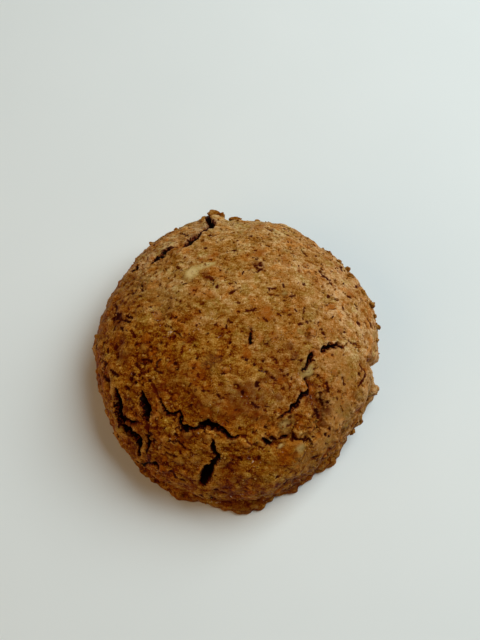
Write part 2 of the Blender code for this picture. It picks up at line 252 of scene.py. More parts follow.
STRAY_MARK_TURN = 0.6  # how far they stray from the streaks

# --- Soft hollows, and swellings with a depth below zero: (places, reach, depth) ---
SOFT_SHAPES = (
    (((20, -17), (21, -19), (21, -21), (20, -23)), 1.4, 1.4), (((15, -28),), 1.6, -0.6),
    (((11, -23.5),), 1.8, -0.5), (((17.5, -19.5), (16, -22)), 1.6, -0.5),
    (((13, -24.5), (13.5, -26.5), (16.5, -26)), 0.9, 0.6), (((-12, -3),), 1.6, 0.5),
    (((-1, -15), (1, -17.5)), 0.9, 0.7), (((-30.5, -5), (-26.5, -6)), 1.4, 0.6),
    (((-33, -8), (-32.5, -12)), 1, 0.6), (((8, -27.5),), 1.8, 1), (((17.5, -10), (17, -13)), 1.6, 0.8),
    (((15, -25),), 1.8, -0.7), (((25, -8.5),), 5, -0.7), (((-8, -20), (-1, -22)), 3, -0.6),
    (((-19, -23), (-17, -26)), 2.4, -0.6), (((4, -19.5), (7, -19)), 1.6, 0.4),
    (((-24, -19.5), (-26, -16)), 1.6, -0.5), (((-31.5, -21.5, 8), (-27, -26.5, 8)), 1.6, -0.7),
)

# --- Bulges and notches of the outline: (place, reach, how far out) ---
OUTLINE = (
    (34.5, 12, 15.5, 1.6, 0.6), (36, 7, 13.5, 1.6, 0.5), (28.5, 21, 17, 1.4, 0.5), (38.5, -9, 5, 1.8, 2.7),
    (36, -3.5, 2, 2, -2.4), (36.5, -3.5, 5.5, 2, -3.2), (36.5, -3.5, 9, 2, -3), (36, -3.5, 12.5, 1.8, -2.2),
    (35.5, -4, 15, 1.6, -1.3), (37.5, 0.5, 6, 1.6, 0.8), (34.5, -14.5, 4.5, 2, 1.3),
    (32.5, -18, 4.5, 2, 1.6), (30.5, -21, 4.5, 1.6, 1.2), (-7.5, 36.5, 18, 1.4, 1.2),
    (-5.5, 37, 17.5, 1.4, 2.4), (-3, 37, 17, 0.6, -2), (0, 37, 17, 1.6, 0.7), (4, 36.5, 17, 1.8, 0.4),
    (27, -24.5, 4.5, 1.3, 1.2), (24, -27, 4, 1, -0.5), (22, -29, 4, 1.2, 0.8), (14, -34.5, 3, 3, 0.8),
)

# --- Patches of colour, and smooth lobes of crust: (place, radius, strength) ---
# Pale patches; on the back-left flap and upper left, painted light on crust facing away from the window
PALE_AND_LIT_PATCHES = (
    (24, -20, 8, 0.55), (28, -16, 4, 0.75), (16, -28, 6, 0.35), (26, 8, 8, 0.2), (-5, -33, 5, 0.25),
    (-12, 32, 4.5, 1.4), (-18.5, 27.5, 5, 1.5), (-24.5, 22.5, 4.5, 1.8), (-9.5, 33.5, 1.5, 0.8),
    (28, -4, 1.2, 0.9), (13, -19.5, 1.2, 0.5), (-20, 13, 9, 0.7), (-12, 24, 6, 0.25), (-24, 6, 5, 0.35),
    (3, -16, 1.6, 0.8), (0, -4, 2.2, 0.8), (3.5, -16.5, 1.3, 0.6), (-6.5, -26.8, 2.6, 0.7),
    (-1, -25, 1.6, 0.5), (-20.5, -21, 1.8, 0.8), (-19, -19, 1.2, 0.7), (-17, -22, 1.4, 0.7),
    (28, -4.5, 2.8, 0.7), (7, -20, 2.4, 0.4), (10, -23.5, 2.6, 0.5), (11.5, -11, 0.9, 0.7),
    (15, -25, 1.3, 0.7), (-18.5, -8.5, 0.8, 0.8), (-13.5, -8, 0.8, 0.7), (-29, -2.5, 0.9, 0.7),
    (6.5, -19, 0.7, 0.9), (-19.5, -17, 0.7, 0.8), (16, -11.5, 1.6, 0.6), (9, -8, 1, 0.4),
    (4.5, -20, 0.7, 0.8),
)
ORANGE_PATCHES = (
    (-9.5, 19.3, 1.1, 1), (-7.5, 20.2, 1, 1), (-5.5, 21, 0.9, 0.9), (14, -27, 1.8, 0.8), (7, 3, 3, 0.9),
    (5.5, 21.5, 2, 1), (2, -7.5, 1.3, 0.9), (8.5, -2.5, 1.5, 0.8), (29, 12.5, 1.5, 0.8), (11.5, 20, 1, 0.7),
    (15.5, 17, 1.4, 1), (-11.5, 10.5, 1.5, 1), (2.5, 13.5, 1, 0.6), (12, 14.5, 1, 0.6), (27, 22, 1.2, 0.6),
    (-34, -10.5, 16, 1.4, 0.9), (-8, 8.5, 2.2, 0.4), (-8.5, 19, 1, 0.9), (23.5, -14.5, 1.6, 0.5),
    (-10, -12, 3, 0.6), (-3, -21, 3, 0.6), (5.5, -23, 2.4, 0.7), (12, -30, 3, 0.6), (-14, -28, 3, 0.5),
    (25, -26, 4, 2, 0.7),
)
# Red-brown stains; below the front crack and by the middle crack they are painted shade
RED_AND_SHADED_PATCHES = (
    (7, -7, 5, 0.2), (12, -9, 4.5, 0.22), (17.5, -18, 2, 0.8), (12.5, -5, 1.8, 0.8), (14, -7, 1.4, 0.8),
    (11, -12, 2.4, 0.6), (19.5, -18, 1.8, 0.8), (20.5, -20.5, 2.6, 1), (20, -23, 1.8, 0.8),
    (-20, -15, 2, 0.9), (-17.5, -20, 1.6, 0.8), (-7.5, 34.5, 1.7, 1), (-8.5, 31.5, 1.7, 1),
    (-11.5, 27.5, 1.6, 1), (-13, 25.5, 1.4, 1), (-19, 24.5, 1.4, 0.9), (17.5, -16.5, 1.6, 0.9),
    (19, -14, 1.3, 0.7), (-8.5, 15, 1.3, 0.8), (21, -18, 1.2, 0.6), (22, -19, 1.6, 1), (21, -22, 1.5, 0.9),
    (7.5, -13, 1.5, 0.8), (5.5, -14, 1.3, 0.8), (9.5, -11.5, 1.3, 0.6), (2, -19, 7, 0.9), (-6, -20, 5, 0.6),
    (12, -22, 5.5, 0.15), (-15, -13, 6, 0.35), (13, -16, 4, 0.2), (-2, -33, 5, 0.35), (17, -2, 1.4, 0.9),
    (9.5, -17.5, 1.7, 0.9), (20.5, -22, 1.5, 0.9), (-12, -3, 1.3, 0.6), (-18.5, -14, 1.5, 0.8),
    (-28.5, -5.5, 2.4, 0.8), (8.5, 31, 1.2, 0.5), (4, -19.5, 2.4, 0.6), (0, -16.5, 1.3, 0.8),
    (29, -19, 6, 1.5, 0.8), (-31.5, -2, 1.1, 0.7), (2.5, -31, 1.2, 0.6), (-22, -23, 1.4, 0.9),
    (14, -33.5, 3, 3.6, 0.9), (2, -38.5, 2, 5, 0.7), (-30.5, 5.5, 2.8, 1), (5, 17.5, 1.8, 0.7),
    (5.5, -36.5, 4, 2.6, 0.7), (-28.5, -18.5, 2, 0.8), (-26.5, -21.5, 2, 0.9), (-24, -24.5, 2.2, 0.8),
    (-30.5, -14.5, 1.6, 0.8), (-22, -26.5, 1.6, 0.7), (11.5, -26, 1.4, 0.7), (-7.5, 13.5, 1.5, 0.6),
    (20, -19, 1.8, 0.7),
)
OLIVE_PATCHES = (
    (15.5, -28, 1.4, 0.6), (-9.5, 33.5, 1.3, 0.6), (3, -16, 1.2, 0.4), (-18, 10, 7, 0.45),
    (-25, 14, 5, 0.5), (16.5, -10.5, 2.4, 0.8), (28, -18.5, 2.6, 0.45), (30, -14, 1.8, 0.4),
    (27, -20.5, 2.2, 0.6), (11, -24.5, 2.2, 0.7), (12, -22.5, 1.8, 0.6), (8, -27.2, 0.8, 0.9),
    (-6.5, -9, 3, 0.35), (18, 4, 3, 0.35), (15, -1, 1.1, 0.6), (30.5, -16.5, 6, 1.7, 0.7),
    (0, -17.5, 0.7, 0.8), (2, -4.5, 0.6, 0.7), (33, 9.5, 0.9, 0.9), (12.5, 22.5, 1.1, 0.6),
    (8, -27.5, 0.7, 0.9), (-30, 5.5, 0.8, 0.9), (-31.5, -17, 14, 1.6, 0.6), (-13.5, -4, 0.6, 0.7),
    (11.5, 9.5, 1.2, 0.7), (14.5, 21, 1.1, 0.5),
)
SMOOTH_LOBES = (
    (24.5, -18, 5, 1), (21, -25.5, 4.5, 1), (16.5, -30.5, 4, 0.9), (26.5, -11.5, 3.5, 0.7),
    (-20, -19.5, 2.5, 0.8), (24, -6.5, 3.5, 0.7), (8, -33, 3.5, 0.5),
)

# --- Nut pieces that lie flush in the crust: (place, length, width, turn in degrees, paleness) ---
NUTS = (
    (-12, 15.5, 5.6, 3.8, 55, 1), (-8.5, 17.5, 6, 2, 22, 0.85), (17, -10.5, 5, 3, 55, 0.6),
    (8, -27.2, 1, 0.8, 20, 0.6), (11.5, 9.5, 1.6, 1, 10, 0.55), (10.5, -28, 2.2, 1, 35, 0.8),
    (11, -23.5, 3.2, 2.4, 20, 0.4), (15, -28, 3, 2.6, 30, 0.45),
)

# --- Bits of nut and chocolate under the skin that swell it a little ---
SWELLINGS = 260
SWELLING_RADIUS = (0.5 * MM, 1.6 * MM)
SWELLING_RISE = 0.30  # for its radius
SWELLING_RAGGED = 0.35
SWELLING_GRAIN = 0.9 * MM  # size of the raggedness
SWELLING_SHOULDER = 0.9  # how much of its radius rises
SWELLINGS_ABOVE = 3.0 * MM
LEAST_BARE = 0.3  # smoother crust than this has no swellings
SWELLING_SEED = 37
SWELLING_RIM = (0.25 * MM, 0.16 * MM)  # width and depth of the groove round it
NUT_PROUD = 0.12 * MM
NUT_RAGGED = (1.4 * MM, 0.14)  # size and reach of the raggedness
NUT_SHOULDER = 0.35
NUT_RIM = 0.25  # half width of the groove round it
NUT_SMOOTHING = 0.8
NUT_RIM_DEPTH = 0.22 * MM

# --- Crumbs on the outline: (place, length, width, height, turn in degrees) ---
RIM_CRUMBS = (
    (33, -17.5, 5, 2.4, 1.4, 1.4, 60), (31, -20.5, 5, 1.8, 1.2, 1.3, 40),
    (-16.5, 33, 16.5, 1.4, 1, 1.1, 30), (-22.5, 29, 15, 1.4, 1, 1.1, 50), (-6.5, 37, 18, 3.4, 1.6, 1.7, 10),
    (-4.5, 37, 17.5, 2, 1.3, 1.5, 60), (-9.5, 36.5, 17.5, 2.2, 1.2, 1.1, 15),
    (-1, 37, 17, 3.2, 1.4, 1.3, 0), (5, 36.5, 16.5, 1.6, 1, 1, 20), (24.5, 27.5, 15.5, 1.6, 1, 1.1, 20),
    (27, 24.5, 16.5, 2, 1.3, 1.3, 70), (28.5, 21.5, 17, 2.4, 1.5, 1.5, 120),
    (29.5, 19.5, 17.5, 1.8, 1.3, 1.3, 60), (32.5, 15, 17, 1.6, 1.1, 1.2, 10),
    (34.5, 12, 15.5, 2.6, 1.6, 1.4, 100), (35.5, 9.5, 14, 1.6, 1.2, 1.2, 80),
    (36, 6.5, 13.5, 2.2, 1.4, 1.3, 90), (36.5, 3.5, 12, 1.4, 1, 1.1, 40),
    (36.5, -11, 4.5, 1.8, 1.2, 1.2, 50), (34.5, -12.5, 4, 1.4, 1, 1.1, 30),
    (26.5, -25.5, 2, 2.8, 2, 1.8, 45), (25, -27, 2, 2, 1.5, 1.3, 20), (19.5, -31, 3, 1.8, 1.2, 1.1, 20),
    (-37, 3.5, 14.5, 2.4, 1.2, 1.4, 90),
)
RIM_CRUMB_PROUD = 0.55  # how much of its height a crumb stands out
CRUMB_SEED = 5
CRUMBS_ABOVE = 1.5 * MM
LOOSE_CRUMBS = 700
LOOSE_CRUMB_SIZE = (0.35 * MM, 0.95 * MM)
LOOSE_CRUMB_WIDTH = (0.5, 0.9)  # for its length
LOOSE_CRUMB_HEIGHT = (0.4, 0.8)
LOOSE_CRUMB_PROUD = 0.1  # how far its middle stands out, for its length
FLECK_SEED = 23
FLECKS_ABOVE = 2.0 * MM
FLECKS = 150
FLECK_LENGTH = (0.5 * MM, 1.5 * MM)
FLECK_WIDTH = (0.25, 0.5)  # for its length
FLECK_HEIGHT = 0.25
FLECK_PROUD = 0.35  # how much of its height a fleck stands out
# Chips that the small pieces are made of: name: (how many kinds, segments, rings)
CHIPS = {"crumb_chip": (4, 24, 16), "grain_chip": (5, 8, 6), "fleck_chip": (5, 8, 6)}
CHIP_BUMPS = ((0.45, 0.45), (0.2, 0.2))  # size and height, for its width

PATCH_RAGGED = (1.6 * MM, 0.6 * MM)  # sizes of the raggedness of a patch of colour
PATCH_REACH = 0.45  # how far its edge strays, and where it fades, for its radius
PATCH_EDGE = (0.35, 1.1)
SKY = 0.1  # a height above the whole cookie
DOWN = Vector((0.0, 0.0, -1.0))


# === Helpers ===
def deselect_all():
    for thing in bpy.context.selected_objects:
        thing.select_set(False)


def hold(piece):
    """Selects one piece alone and makes it the active one."""
    deselect_all()
    piece.select_set(True)
    bpy.context.view_layer.objects.active = piece


def added(name):
    """Names the primitive that was just added."""
    piece = bpy.context.object
    piece.name = name
    piece.data.name = name
    return piece


def set_all(thing, settings):
    for name, value in settings.items():
        setattr(thing, name, value)


def finish_with(piece, kind, **settings):
    """Adds a modifier with its settings and applies it."""
    modifier = piece.modifiers.new(kind.lower(), kind)
    set_all(modifier, settings)
    hold(piece)
    bpy.ops.object.modifier_apply(modifier=modifier.name)


def numbers_of(things, name, kind=float, wide=3):
    flat = np.empty(len(things) * wide, dtype=kind)
    things.foreach_get(name, flat)
    return flat.reshape(-1, wide)


def points_of(piece):
    return numbers_of(piece.data.vertices, "co")


def normals_of(piece):
    return numbers_of(piece.data.vertex_normals, "vector")


def edges_of(piece):
    return numbers_of(piece.data.edges, "vertices", np.int64, 2)


def sides_of(piece):
    return [tuple(polygon.vertices) for polygon in piece.data.polygons]


def set_points(piece, points):
    piece.data.vertices.foreach_set("co", np.ascontiguousarray(points).ravel())
    piece.data.update()


def paint(piece, name, values):
    """Stores one number for each point, for a material to read."""
    attribute = piece.data.attributes.new(name, "FLOAT", "POINT")
    attribute.data.foreach_set("value", np.asarray(values, dtype=np.float32))


def unevenness(points, size, seed):
    """Smooth noise between -1 and 1 at each point."""
    offset = Vector((seed * 7.3, seed * 3.1, seed * 5.7))
    return np.array([noise.noise(Vector(point) / size + offset) for point in points])


def smooth_step(values, low, high):
    share = np.clip((values - low) / (high - low), 0.0, 1.0)
    return share * share * (3.0 - 2.0 * share)


def fading(distance, reach):
    """1 at no distance, and close to 0 past twice the reach."""
    return np.exp(-(distance / reach) ** 2)


def length_one(vectors):
    return vectors / np.linalg.norm(vectors, axis=1)[:, None]


def averaged(values, edges, rounds):
    """Each point's value made the mean of its neighbours', several times over."""
    size = len(values)
    first, second = edges[:, 0], edges[:, 1]
    count = np.bincount(edges.ravel(), minlength=size)
    for _ in range(rounds):
        total = np.bincount(first, values[second], size) + np.bincount(second, values[first], size)
        values = total / count
    return values


def surroundings(points, edges, rounds):
    return np.stack([averaged(points[:, axis], edges, rounds) for axis in range(3)], axis=1)


# === Crust: shape ===
def tree_of(piece):
    return BVHTree.FromPolygons([vertex.co.copy() for vertex in piece.data.vertices], sides_of(piece))


def on_crust(tree, place):
    """Point and normal where a place lies: (x, y) as seen from above, or (x, y, z) from the heart."""
    if len(place) == 2:
        return tree.ray_cast(Vector((place[0] * MM, place[1] * MM, SKY)), DOWN)[:2]
    return tree.ray_cast(HEART, (Vector(place) * MM - HEART).normalized())[:2]


def line_on(tree, places):
    return np.array([on_crust(tree, place)[0] for place in places])


def select_in_edit_mode(piece, kind, wanted):
    """Opens edit mode on one piece and selects its edges or faces that pass a test."""
    hold(piece)
    bpy.context.tool_settings.mesh_select_mode = (False, kind == "edges", kind == "faces")
    bpy.ops.object.mode_set(mode="EDIT")
    bpy.ops.mesh.select_all(action="DESELECT")
    for element in getattr(bmesh.from_edit_mesh(piece.data), kind):
        if wanted(element):
            element.select_set(True)
    bmesh.update_edit_mesh(piece.data)


def cut_across(piece, axis, cuts):
    """Subdivides every edge that runs along an axis."""
    def runs_along(edge):
        return abs((edge.verts[1].co - edge.verts[0].co).normalized()[axis]) > ALONG
    select_in_edit_mode(piece, "edges", runs_along)
    bpy.ops.mesh.subdivide(number_cuts=cuts)
    bpy.ops.object.mode_set(mode="OBJECT")


def ball_of_dough():
    """A cube, open below, cut into a fine grid and cast into a ball of the dome's proportions."""
    deselect_all()
    bpy.ops.mesh.primitive_cube_add(size=2.0, location=(0.0, 0.0, 0.0))
    dough = added("crust")
    select_in_edit_mode(dough, "faces", lambda face: face.normal.z < -ALONG)
    bpy.ops.mesh.delete(type="ONLY_FACE")
    bpy.ops.object.mode_set(mode="OBJECT")
    cut_across(dough, 2, WALL_CUTS)
    for axis in (0, 1):
        for cuts in TOP_CUTS:
            cut_across(dough, axis, cuts)
    finish_with(dough, "CAST", cast_type="SPHERE", factor=1.0)
    points = length_one(points_of(dough))
    half_size = np.tile(DOUGH_HALF_SIZE, (len(points), 1))
    half_size[points[:, 2] <= 0.0, 2] = DOUGH_BELOW
    set_points(dough, points * half_size)
    return dough


def press_onto(dough, tree):
    """Moves each point along its ray from the heart until it meets the frame, and fills its cuts."""
    rays = length_one(points_of(dough))
    met = np.array([tree.ray_cast(HEART, Vector(ray))[0] for ray in rays])
    reach = np.linalg.norm(met - np.array(HEART), axis=1)
    edges = edges_of(dough)
    sunk = ((surroundings(met, edges, AROUND_ROUNDS) - met) * rays).sum(axis=1)
    cut = (sunk > CUT_DEPTH) & (met[:, 2] > CUT_LOWEST)
    cut = averaged(cut.astype(float), edges, WIDENING_ROUNDS) > CUT_SHARE
    for _ in range(FILLING_ROUNDS):
        reach = np.where(cut, averaged(reach, edges, 1), reach)
    set_points(dough, np.array(HEART) + rays * reach[:, None])


def mark_group(piece, name, weights):
    """A vertex group from one weight for each point, in steps of a fiftieth."""
    group = piece.vertex_groups.new(name=name)
    levels = np.round(np.clip(weights, 0.0, 1.0) * 50.0) / 50.0
    for level in np.unique(levels):
        if level > 0.0:
            group.add(np.nonzero(levels == level)[0].tolist(), float(level), "REPLACE")


def soften(piece, rounds):
    finish_with(piece, "SMOOTH", iterations=rounds, factor=0.5, vertex_group="free")


def close_underside(piece):
    """Fills the open bottom with one flat face."""
    select_in_edit_mode(piece, "edges", lambda edge: edge.is_boundary)
    bpy.ops.mesh.edge_face_add()
    bpy.ops.object.mode_set(mode="OBJECT")


def texture_relief(piece, kind, relief, group, **settings):
    """Presses a procedural texture of a size and height into the crust."""
    size, height = relief
    texture = bpy.data.textures.new("relief", kind)
    set_all(texture, {"noise_scale": size, **settings})
    finish_with(piece, "DISPLACE", texture=texture, texture_coords="LOCAL", strength=height,
                mid_level=0.5, vertex_group=group)


def distance_to_line(places, line, widths):
    """Distance of each place to a line of one or more points, and the line's half width there."""
    if len(line) == 1:
        return np.linalg.norm(places - line[0], axis=1), np.full(len(places), widths[0])
    best = np.full(len(places), np.inf)
    width = np.zeros(len(places))
    for start, end, first, last in zip(line, line[1:], widths, widths[1:]):
        along = end - start
        share = np.clip((places - start) @ along / (along @ along), 0.0, 1.0)
        distance = np.linalg.norm(places - (start + share[:, None] * along), axis=1)
        closer = distance < best
        best = np.where(closer, distance, best)
        width = np.where(closer, first + share * (last - first), width)
    return best, width


def shape_softly(piece, smooth, tree):
    """Presses the soft hollows, raises the swellings and shapes the outline."""
    points = points_of(piece)
    outward = normals_of(piece)
    for places, reach, depth in SOFT_SHAPES:
        distance, _ = distance_to_line(smooth, line_on(tree, places), [0.0] * len(places))
        points -= outward * (depth * MM * fading(distance, reach * MM))[:, None]
    sideways = outward * np.array((1.0, 1.0, 0.2))
    for *place, reach, out in OUTLINE:
        distance = np.linalg.norm(smooth - line_on(tree, (place,)), axis=1)
        points += sideways * (out * MM * fading(distance, reach * MM))[:, None]
    set_points(piece, points)


def flake_the_crust(piece, free):
    """Flat flakes with ragged edges, drawn out along the crust's streaks on the top."""
    points = points_of(piece)
    turned = points @ np.array(Matrix.Rotation(-STREAK_TURN, 3, "Z")).T
    turned *= np.array((1.0, STREAK_STRETCH, 1.0))
    for index, (size, height, ragged) in enumerate(SCALES):
        field = unevenness(turned, size, SEEDS["flakes"] + index)
        field += SCALE_RAGGED * unevenness(turned, ragged, SEEDS["flake edges"] + index)
        points += normals_of(piece) * (free * height * smooth_step(field, *SCALE_EDGE))[:, None]
    set_points(piece, points)


def layer_the_wall(piece):
    """Horizontal layers in the side wall and a ragged edge on the foot."""
    points = points_of(piece)
    outward = normals_of(piece)
    height = points[:, 2]
    wall = smooth_step(np.hypot(outward[:, 0], outward[:, 1]), *WALL_LEAN)
    wall *= 1.0 - smooth_step(height, *LAYER_HEIGHTS[2:])
    wall *= smooth_step(height, *LAYER_HEIGHTS[:2])
    wander = unevenness(points, LAYER_LENGTH, SEEDS["layers"])
    wander += 0.3 * unevenness(points, 0.3 * LAYER_LENGTH, SEEDS["layer waves"])
    layers = height / LAYER_THICKNESS + LAYER_WANDER * wander
    ridges = np.sin(math.pi * (layers - np.floor(layers)) ** 0.6) - 0.6
    ridges *= smooth_step(unevenness(points, 0.8 * LAYER_LENGTH, SEEDS["layer breaks"]), *LAYER_BREAKS)
    foot = 1.0 - smooth_step(height, *FOOT_TOP)
    foot *= smooth_step(np.hypot(points[:, 0], points[:, 1]), *FOOT_RADIUS)
    ragged = unevenness(points * np.array((1.0, 1.0, 0.4)), FOOT_RAGGED_SIZE, SEEDS["foot"])
    flat = outward * np.array((1.0, 1.0, 0.0))
    points += outward * (wall * ridges * LAYER_DEPTH)[:, None]
    points += flat * (foot * ragged * FOOT_RAGGED_DEPTH)[:, None]
    set_points(piece, points)


def open_cracks(piece, smooth, tree):
    """Sinks the cracks, laid out on the smooth crust; returns how far inside an edge each point lies."""
    inward = length_one(np.array(HEART) - smooth)
    kinks = sum(reach * unevenness(smooth, size, SEEDS["crack kinks"] + index)
                for index, (size, reach) in enumerate(CRACK_KINKS))
    sunk = np.zeros(len(smooth))
    lifted = np.zeros(len(smooth))
    edge = np.full(len(smooth), -EDGE_RANGE)
    for depth, lift, stations in CRACKS.values():
        widths = np.array([station[-1] for station in stations]) * MM
        line = line_on(tree, [station[:-1] for station in stations])
        distance, width = distance_to_line(smooth, line, widths)
        inside = width - distance - kinks * np.clip(width / KINKED_WIDTH, *KINK_LIMITS)
        reach = depth * MM * np.clip(width / widths.max(), CRACK_SHALLOWEST, 1.0)
        sunk = np.maximum(sunk, smooth_step(inside, *CRACK_WALL) * reach)
        lifted = np.maximum(lifted, lift * MM * fading(distance, LIP_REACH))
        edge = np.maximum(edge, inside)
    moved = sunk - lifted * (1.0 - smooth_step(edge, *CRACK_WALL))
    set_points(piece, points_of(piece) + inward * moved[:, None])
    return edge / EDGE_RANGE


def near_points(smooth):
    """A tree that finds the points within a distance."""
    near = kdtree.KDTree(len(smooth))
    for index, point in enumerate(smooth):
        near.insert(point, index)
    near.balance()
    return near


def found_near(near, middle, reach):
    return np.array([index for _, index, _ in near.find_range(Vector(middle), reach)])


def placed_marks(tree, spots, strokes):
    marks = []
    for width, places in spots.items():
        marks += [(width * SPOT_BROADENING * MM, line_on(tree, (place,))) for place in places]
    for width, lines in strokes.items():
        marks += [(width * STROKE_BROADENING * MM, line_on(tree, line)) for line in lines]
    return marks


def stray_marks(smooth, count, seed):
    """Seeded short strokes all over the crust, most of them along its streaks."""
    draw = random.Random(seed)
    free = np.nonzero(smooth[:, 2] > MARKS_ABOVE)[0]
    streak = Vector((math.cos(STREAK_TURN), math.sin(STREAK_TURN), 0.0))
    marks = []
    for _ in range(count):
        start = Vector(smooth[int(draw.choice(free))])
        stray = Vector([draw.gauss(0.0, STRAY_MARK_TURN) for _ in range(3)])
        end = start + (streak + stray).normalized() * draw.uniform(*STRAY_MARK_LENGTH)
        marks.append((draw.uniform(*STRAY_MARK_WIDTH), np.array((start, end))))
    return marks


def press_marks(piece, smooth, marks):
    """Presses small dark marks into the crust; returns how far inside an edge each point lies."""
    near = near_points(smooth)
    kink_size, kink_reach = MARK_KINK
    kinks = kink_reach * unevenness(smooth, kink_size, SEEDS["mark kinks"])
    edge = np.full(len(smooth), -EDGE_RANGE)
    for width, line in marks:
        middle = line.mean(axis=0)
        reach = np.linalg.norm(line - middle, axis=1).max() + width + EDGE_RANGE
        close = found_near(near, middle, reach)
        if len(close) == 0:
            continue
        distance, _ = distance_to_line(smooth[close], line, [width] * len(line))
        edge[close] = np.maximum(edge[close], width - distance - kinks[close])
    sunk = MARK_DEPTH * smooth_step(edge, *MARK_EDGE)
    set_points(piece, points_of(piece) - normals_of(piece) * sunk[:, None])
    return edge / EDGE_RANGE


def raise_swellings(piece, smooth, browned_and_shaded, bare):
    """Swells the crust over buried bits; returns how far inside one each point lies, and its tone."""
    draw = random.Random(SWELLING_SEED)
    near = near_points(smooth)
    ragged = unevenness(smooth, SWELLING_GRAIN, SEEDS["swellings"])
    free = np.nonzero((smooth[:, 2] > SWELLINGS_ABOVE) & (bare < LEAST_BARE))[0]
    edge = np.full(len(smooth), -EDGE_RANGE)
    tone_of = np.full(len(smooth), 0.5)
    rise = np.zeros(len(smooth))
    for _ in range(SWELLINGS):
        middle = int(draw.choice(free))
        radius = draw.uniform(*SWELLING_RADIUS) * (0.6 + 0.4 * browned_and_shaded[middle])
        tone_here = draw.uniform(0.0, 1.0)
        close = found_near(near, smooth[middle], radius + EDGE_RANGE)
        distance = np.linalg.norm(smooth[close] - smooth[middle], axis=1)
        inside = radius * (1.0 + SWELLING_RAGGED * ragged[close]) - distance
        tone_of[close] = np.where(inside > edge[close], tone_here, tone_of[close])
        edge[close] = np.maximum(edge[close], inside)
        dome = SWELLING_RISE * radius * smooth_step(inside, 0.0, SWELLING_SHOULDER * radius)
        rise[close] = np.maximum(rise[close], dome)
    rim_width, rim_depth = SWELLING_RIM
    groove = rim_depth * fading(edge, rim_width)
    set_points(piece, points_of(piece) + normals_of(piece) * (rise - groove)[:, None])
    return edge / EDGE_RANGE, tone_of


def patch_mask(smooth, tree, patches, seed):
    """How strongly each point lies in any of some soft, ragged patches."""
    coarse, fine = PATCH_RAGGED
    ragged = unevenness(smooth, coarse, seed) + 0.5 * unevenness(smooth, fine, seed + 50)
    mask = np.zeros(len(smooth))
    for *place, radius, strength in patches:
        middle = np.array(on_crust(tree, place)[0])
        distance = np.linalg.norm(smooth - middle, axis=1) / (radius * MM)
        share = 1.0 - smooth_step(distance + PATCH_REACH * ragged, *PATCH_EDGE)
        mask = np.maximum(mask, share * strength)
    return mask


def nut_masks(smooth, tree):
    """For each point, how far inside a flush nut piece it lies, and how pale that piece is."""
    ragged_size, ragged_reach = NUT_RAGGED
    ragged = ragged_reach * unevenness(smooth, ragged_size, SEEDS["nuts"])
    inside = np.full(len(smooth), -1.0)
    pale = np.zeros(len(smooth))
    for *place, length, width, turn, paleness in NUTS:
        middle = line_on(tree, (place,))[0]
        flat = (smooth - middle) @ np.array(Matrix.Rotation(math.radians(-turn), 3, "Z")).T
        flat /= np.array((length / 2.0, width / 2.0, length / 2.0)) * MM
        depth = 1.0 - np.linalg.norm(flat, axis=1) - ragged
        pale = np.where(depth > inside, paleness, pale)
        inside = np.maximum(inside, depth)
    return inside, pale


def bed_the_nuts(piece, smooth, nut):
    """Smooths the crust over each flush nut piece and lets a shallow groove run round it."""
    outward = normals_of(piece)
    flush = NUT_SMOOTHING * smooth_step(nut, 0.0, NUT_SHOULDER)[:, None]
    points = points_of(piece) * (1.0 - flush) + flush * (smooth + outward * NUT_PROUD)
    rim = smooth_step(nut, -NUT_RIM, 0.0) * (1.0 - smooth_step(nut, 0.0, NUT_RIM))
    set_points(piece, points - outward * (rim * NUT_RIM_DEPTH)[:, None])


def hollowness(piece, rounds, scale):
    """How deep each point lies below its surroundings, from -1 on a ridge to 1 in a hollow."""
    points = points_of(piece)
    around = surroundings(points, edges_of(piece), rounds)
    depth = ((around - points) * normals_of(piece)).sum(axis=1)
    return np.clip(depth / scale, -1.0, 1.0)


def browning_and_shade(points):
    """0 at the back right to 1 at the front left: browner, rougher crust, darkened with painted shade."""
    across = points[:, :2] @ np.array(BROWN_AND_SHADE_WAY) / BROWNING_REACH
    across += BROWNING_WANDER * unevenness(points, BROWNING_PATCH, SEEDS["browning_and_shade"])
    return smooth_step(across, *BROWNING_SPAN)


